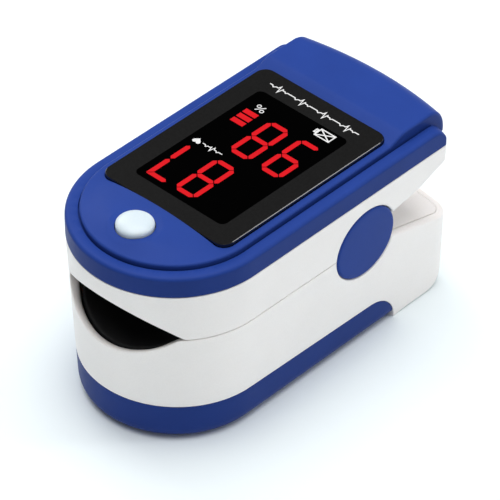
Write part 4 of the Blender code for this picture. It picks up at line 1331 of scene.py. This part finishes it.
# Degrees and millimetres, with the azimuth counted from the finger mouth.
CAMERA_AZIMUTH, CAMERA_ELEVATION = 43.564, 40.03
CAMERA_DISTANCE, CAMERA_LENS = 574.68, 286.87
CAMERA_TARGET = Vector((2.02, 0.0, 16.66))

# Each softbox: azimuth, elevation, size and watts.
SOFTBOXES = {
    "overhead": (0, 89, (460, 460), 2.1),
    "left": (-105, 38, (220, 240), 0.42),
    "right_back": (131, 32, (50, 240), 0.2),
}
SOFTBOX_DISTANCE = 420
SOFTBOX_TARGET = Vector((0, 0, 15))

# The sky's colour from the horizon up, its strength and how that leans over the world.
SKY_STOPS = ((0.0, grey(1.0)), (0.16, grey(0.95)), (0.3, (0.28, 0.28, 0.29)), (0.7, (0.3, 0.3, 0.31)))
SKY_STRENGTH = 0.7
SKY_LEAN = (0.10, 0.24, 0.0)

FLOOR_HALF = 1500.0
FLOOR_COLOUR = (0.89, 0.96, 0.98, 1)


def aim(obj, origin, target, up=Vector((0, 0, 1))):
    back = (origin - target).normalized()
    right = up.cross(back).normalized()
    turn = Matrix((right, back.cross(right), back)).transposed().to_4x4()
    obj.matrix_world = Matrix.Translation(origin * MM) @ turn


def direction(azimuth, elevation):
    a, e = radians(azimuth), radians(elevation)
    return Vector((sin(a) * cos(e), -cos(a) * cos(e), sin(e)))


def make_camera():
    data = bpy.data.cameras.new("camera")
    data.lens = CAMERA_LENS
    data.sensor_width = 36.0
    data.clip_start = 0.01
    data.clip_end = 10.0
    camera = linked("camera", data)
    origin = CAMERA_TARGET + direction(CAMERA_AZIMUTH, CAMERA_ELEVATION) * CAMERA_DISTANCE
    aim(camera, origin, CAMERA_TARGET)
    bpy.context.scene.camera = camera


def make_softboxes():
    for name, (azimuth, elevation, size, watts) in SOFTBOXES.items():
        data = bpy.data.lights.new(name, "AREA")
        data.shape = "RECTANGLE"
        data.size, data.size_y = size[0] * MM, size[1] * MM
        data.energy = watts
        up = Vector((0, 1, 0)) if elevation > 85 else Vector((0, 0, 1))
        origin = SOFTBOX_TARGET + direction(azimuth, elevation) * SOFTBOX_DISTANCE
        aim(linked(name, data), origin, SOFTBOX_TARGET, up)


def make_world():
    """A bright horizon under a dim sky, weaker towards the front; the camera itself sees white."""
    world = bpy.data.worlds.new("studio")
    bpy.context.scene.world = world
    world.use_nodes = True
    graph = Graph(world.node_tree)
    nodes, link = graph.tree.nodes, graph.tree.links.new
    where = graph.add("TexCoord").outputs["Generated"]
    height = graph.add("SeparateXYZ", Vector=where).outputs["Z"]
    lean = graph.add("VectorMath", {"operation": "DOT_PRODUCT"})
    link(where, lean.inputs[0])
    lean.inputs[1].default_value = SKY_LEAN
    total = graph.add("Math", {"operation": "ADD"})
    link(lean.outputs["Value"], total.inputs[0])
    total.inputs[1].default_value = SKY_STRENGTH
    light = graph.feed(nodes["Background"], Color=graph.ramp(height, *SKY_STOPS),
                       Strength=total.outputs["Value"])
    backdrop = graph.add("Background", Color=(1, 1, 1, 1), Strength=1.0)
    mix = graph.add("MixShader", Fac=graph.add("LightPath").outputs["Is Camera Ray"])
    for index, shader in enumerate((light, backdrop), 1):
        link(shader.outputs["Background"], mix.inputs[index])
    graph.feed(nodes["World Output"], Surface=mix.outputs["Shader"])


def make_stage():
    corners = [(x * FLOOR_HALF, y * FLOOR_HALF, 0) for x, y in ((-1, -1), (1, -1), (1, 1), (-1, 1))]
    floor = make_mesh("floor", corners, [(0, 1, 2, 3)])
    paper = Look("floor_paper", Base_Color=FLOOR_COLOUR, Roughness=0.9, Specular_IOR_Level=0.0)
    floor.data.materials.append(paper.material)
    make_world()
    settings = bpy.context.scene.view_settings
    settings.view_transform = "Standard"
    settings.look = "None"
    make_softboxes()


# ---------- everything

make_upper_case()
make_lower_case()
make_tail_plates()
make_lid()
make_window()
make_readout()
make_button()
for pad_name, settings in PADS.items():
    make_pad(pad_name, *settings)
make_caps()
make_torsion_springs()
make_flex_cable()
make_door()
repaint_nodes()
make_camera()
make_stage()
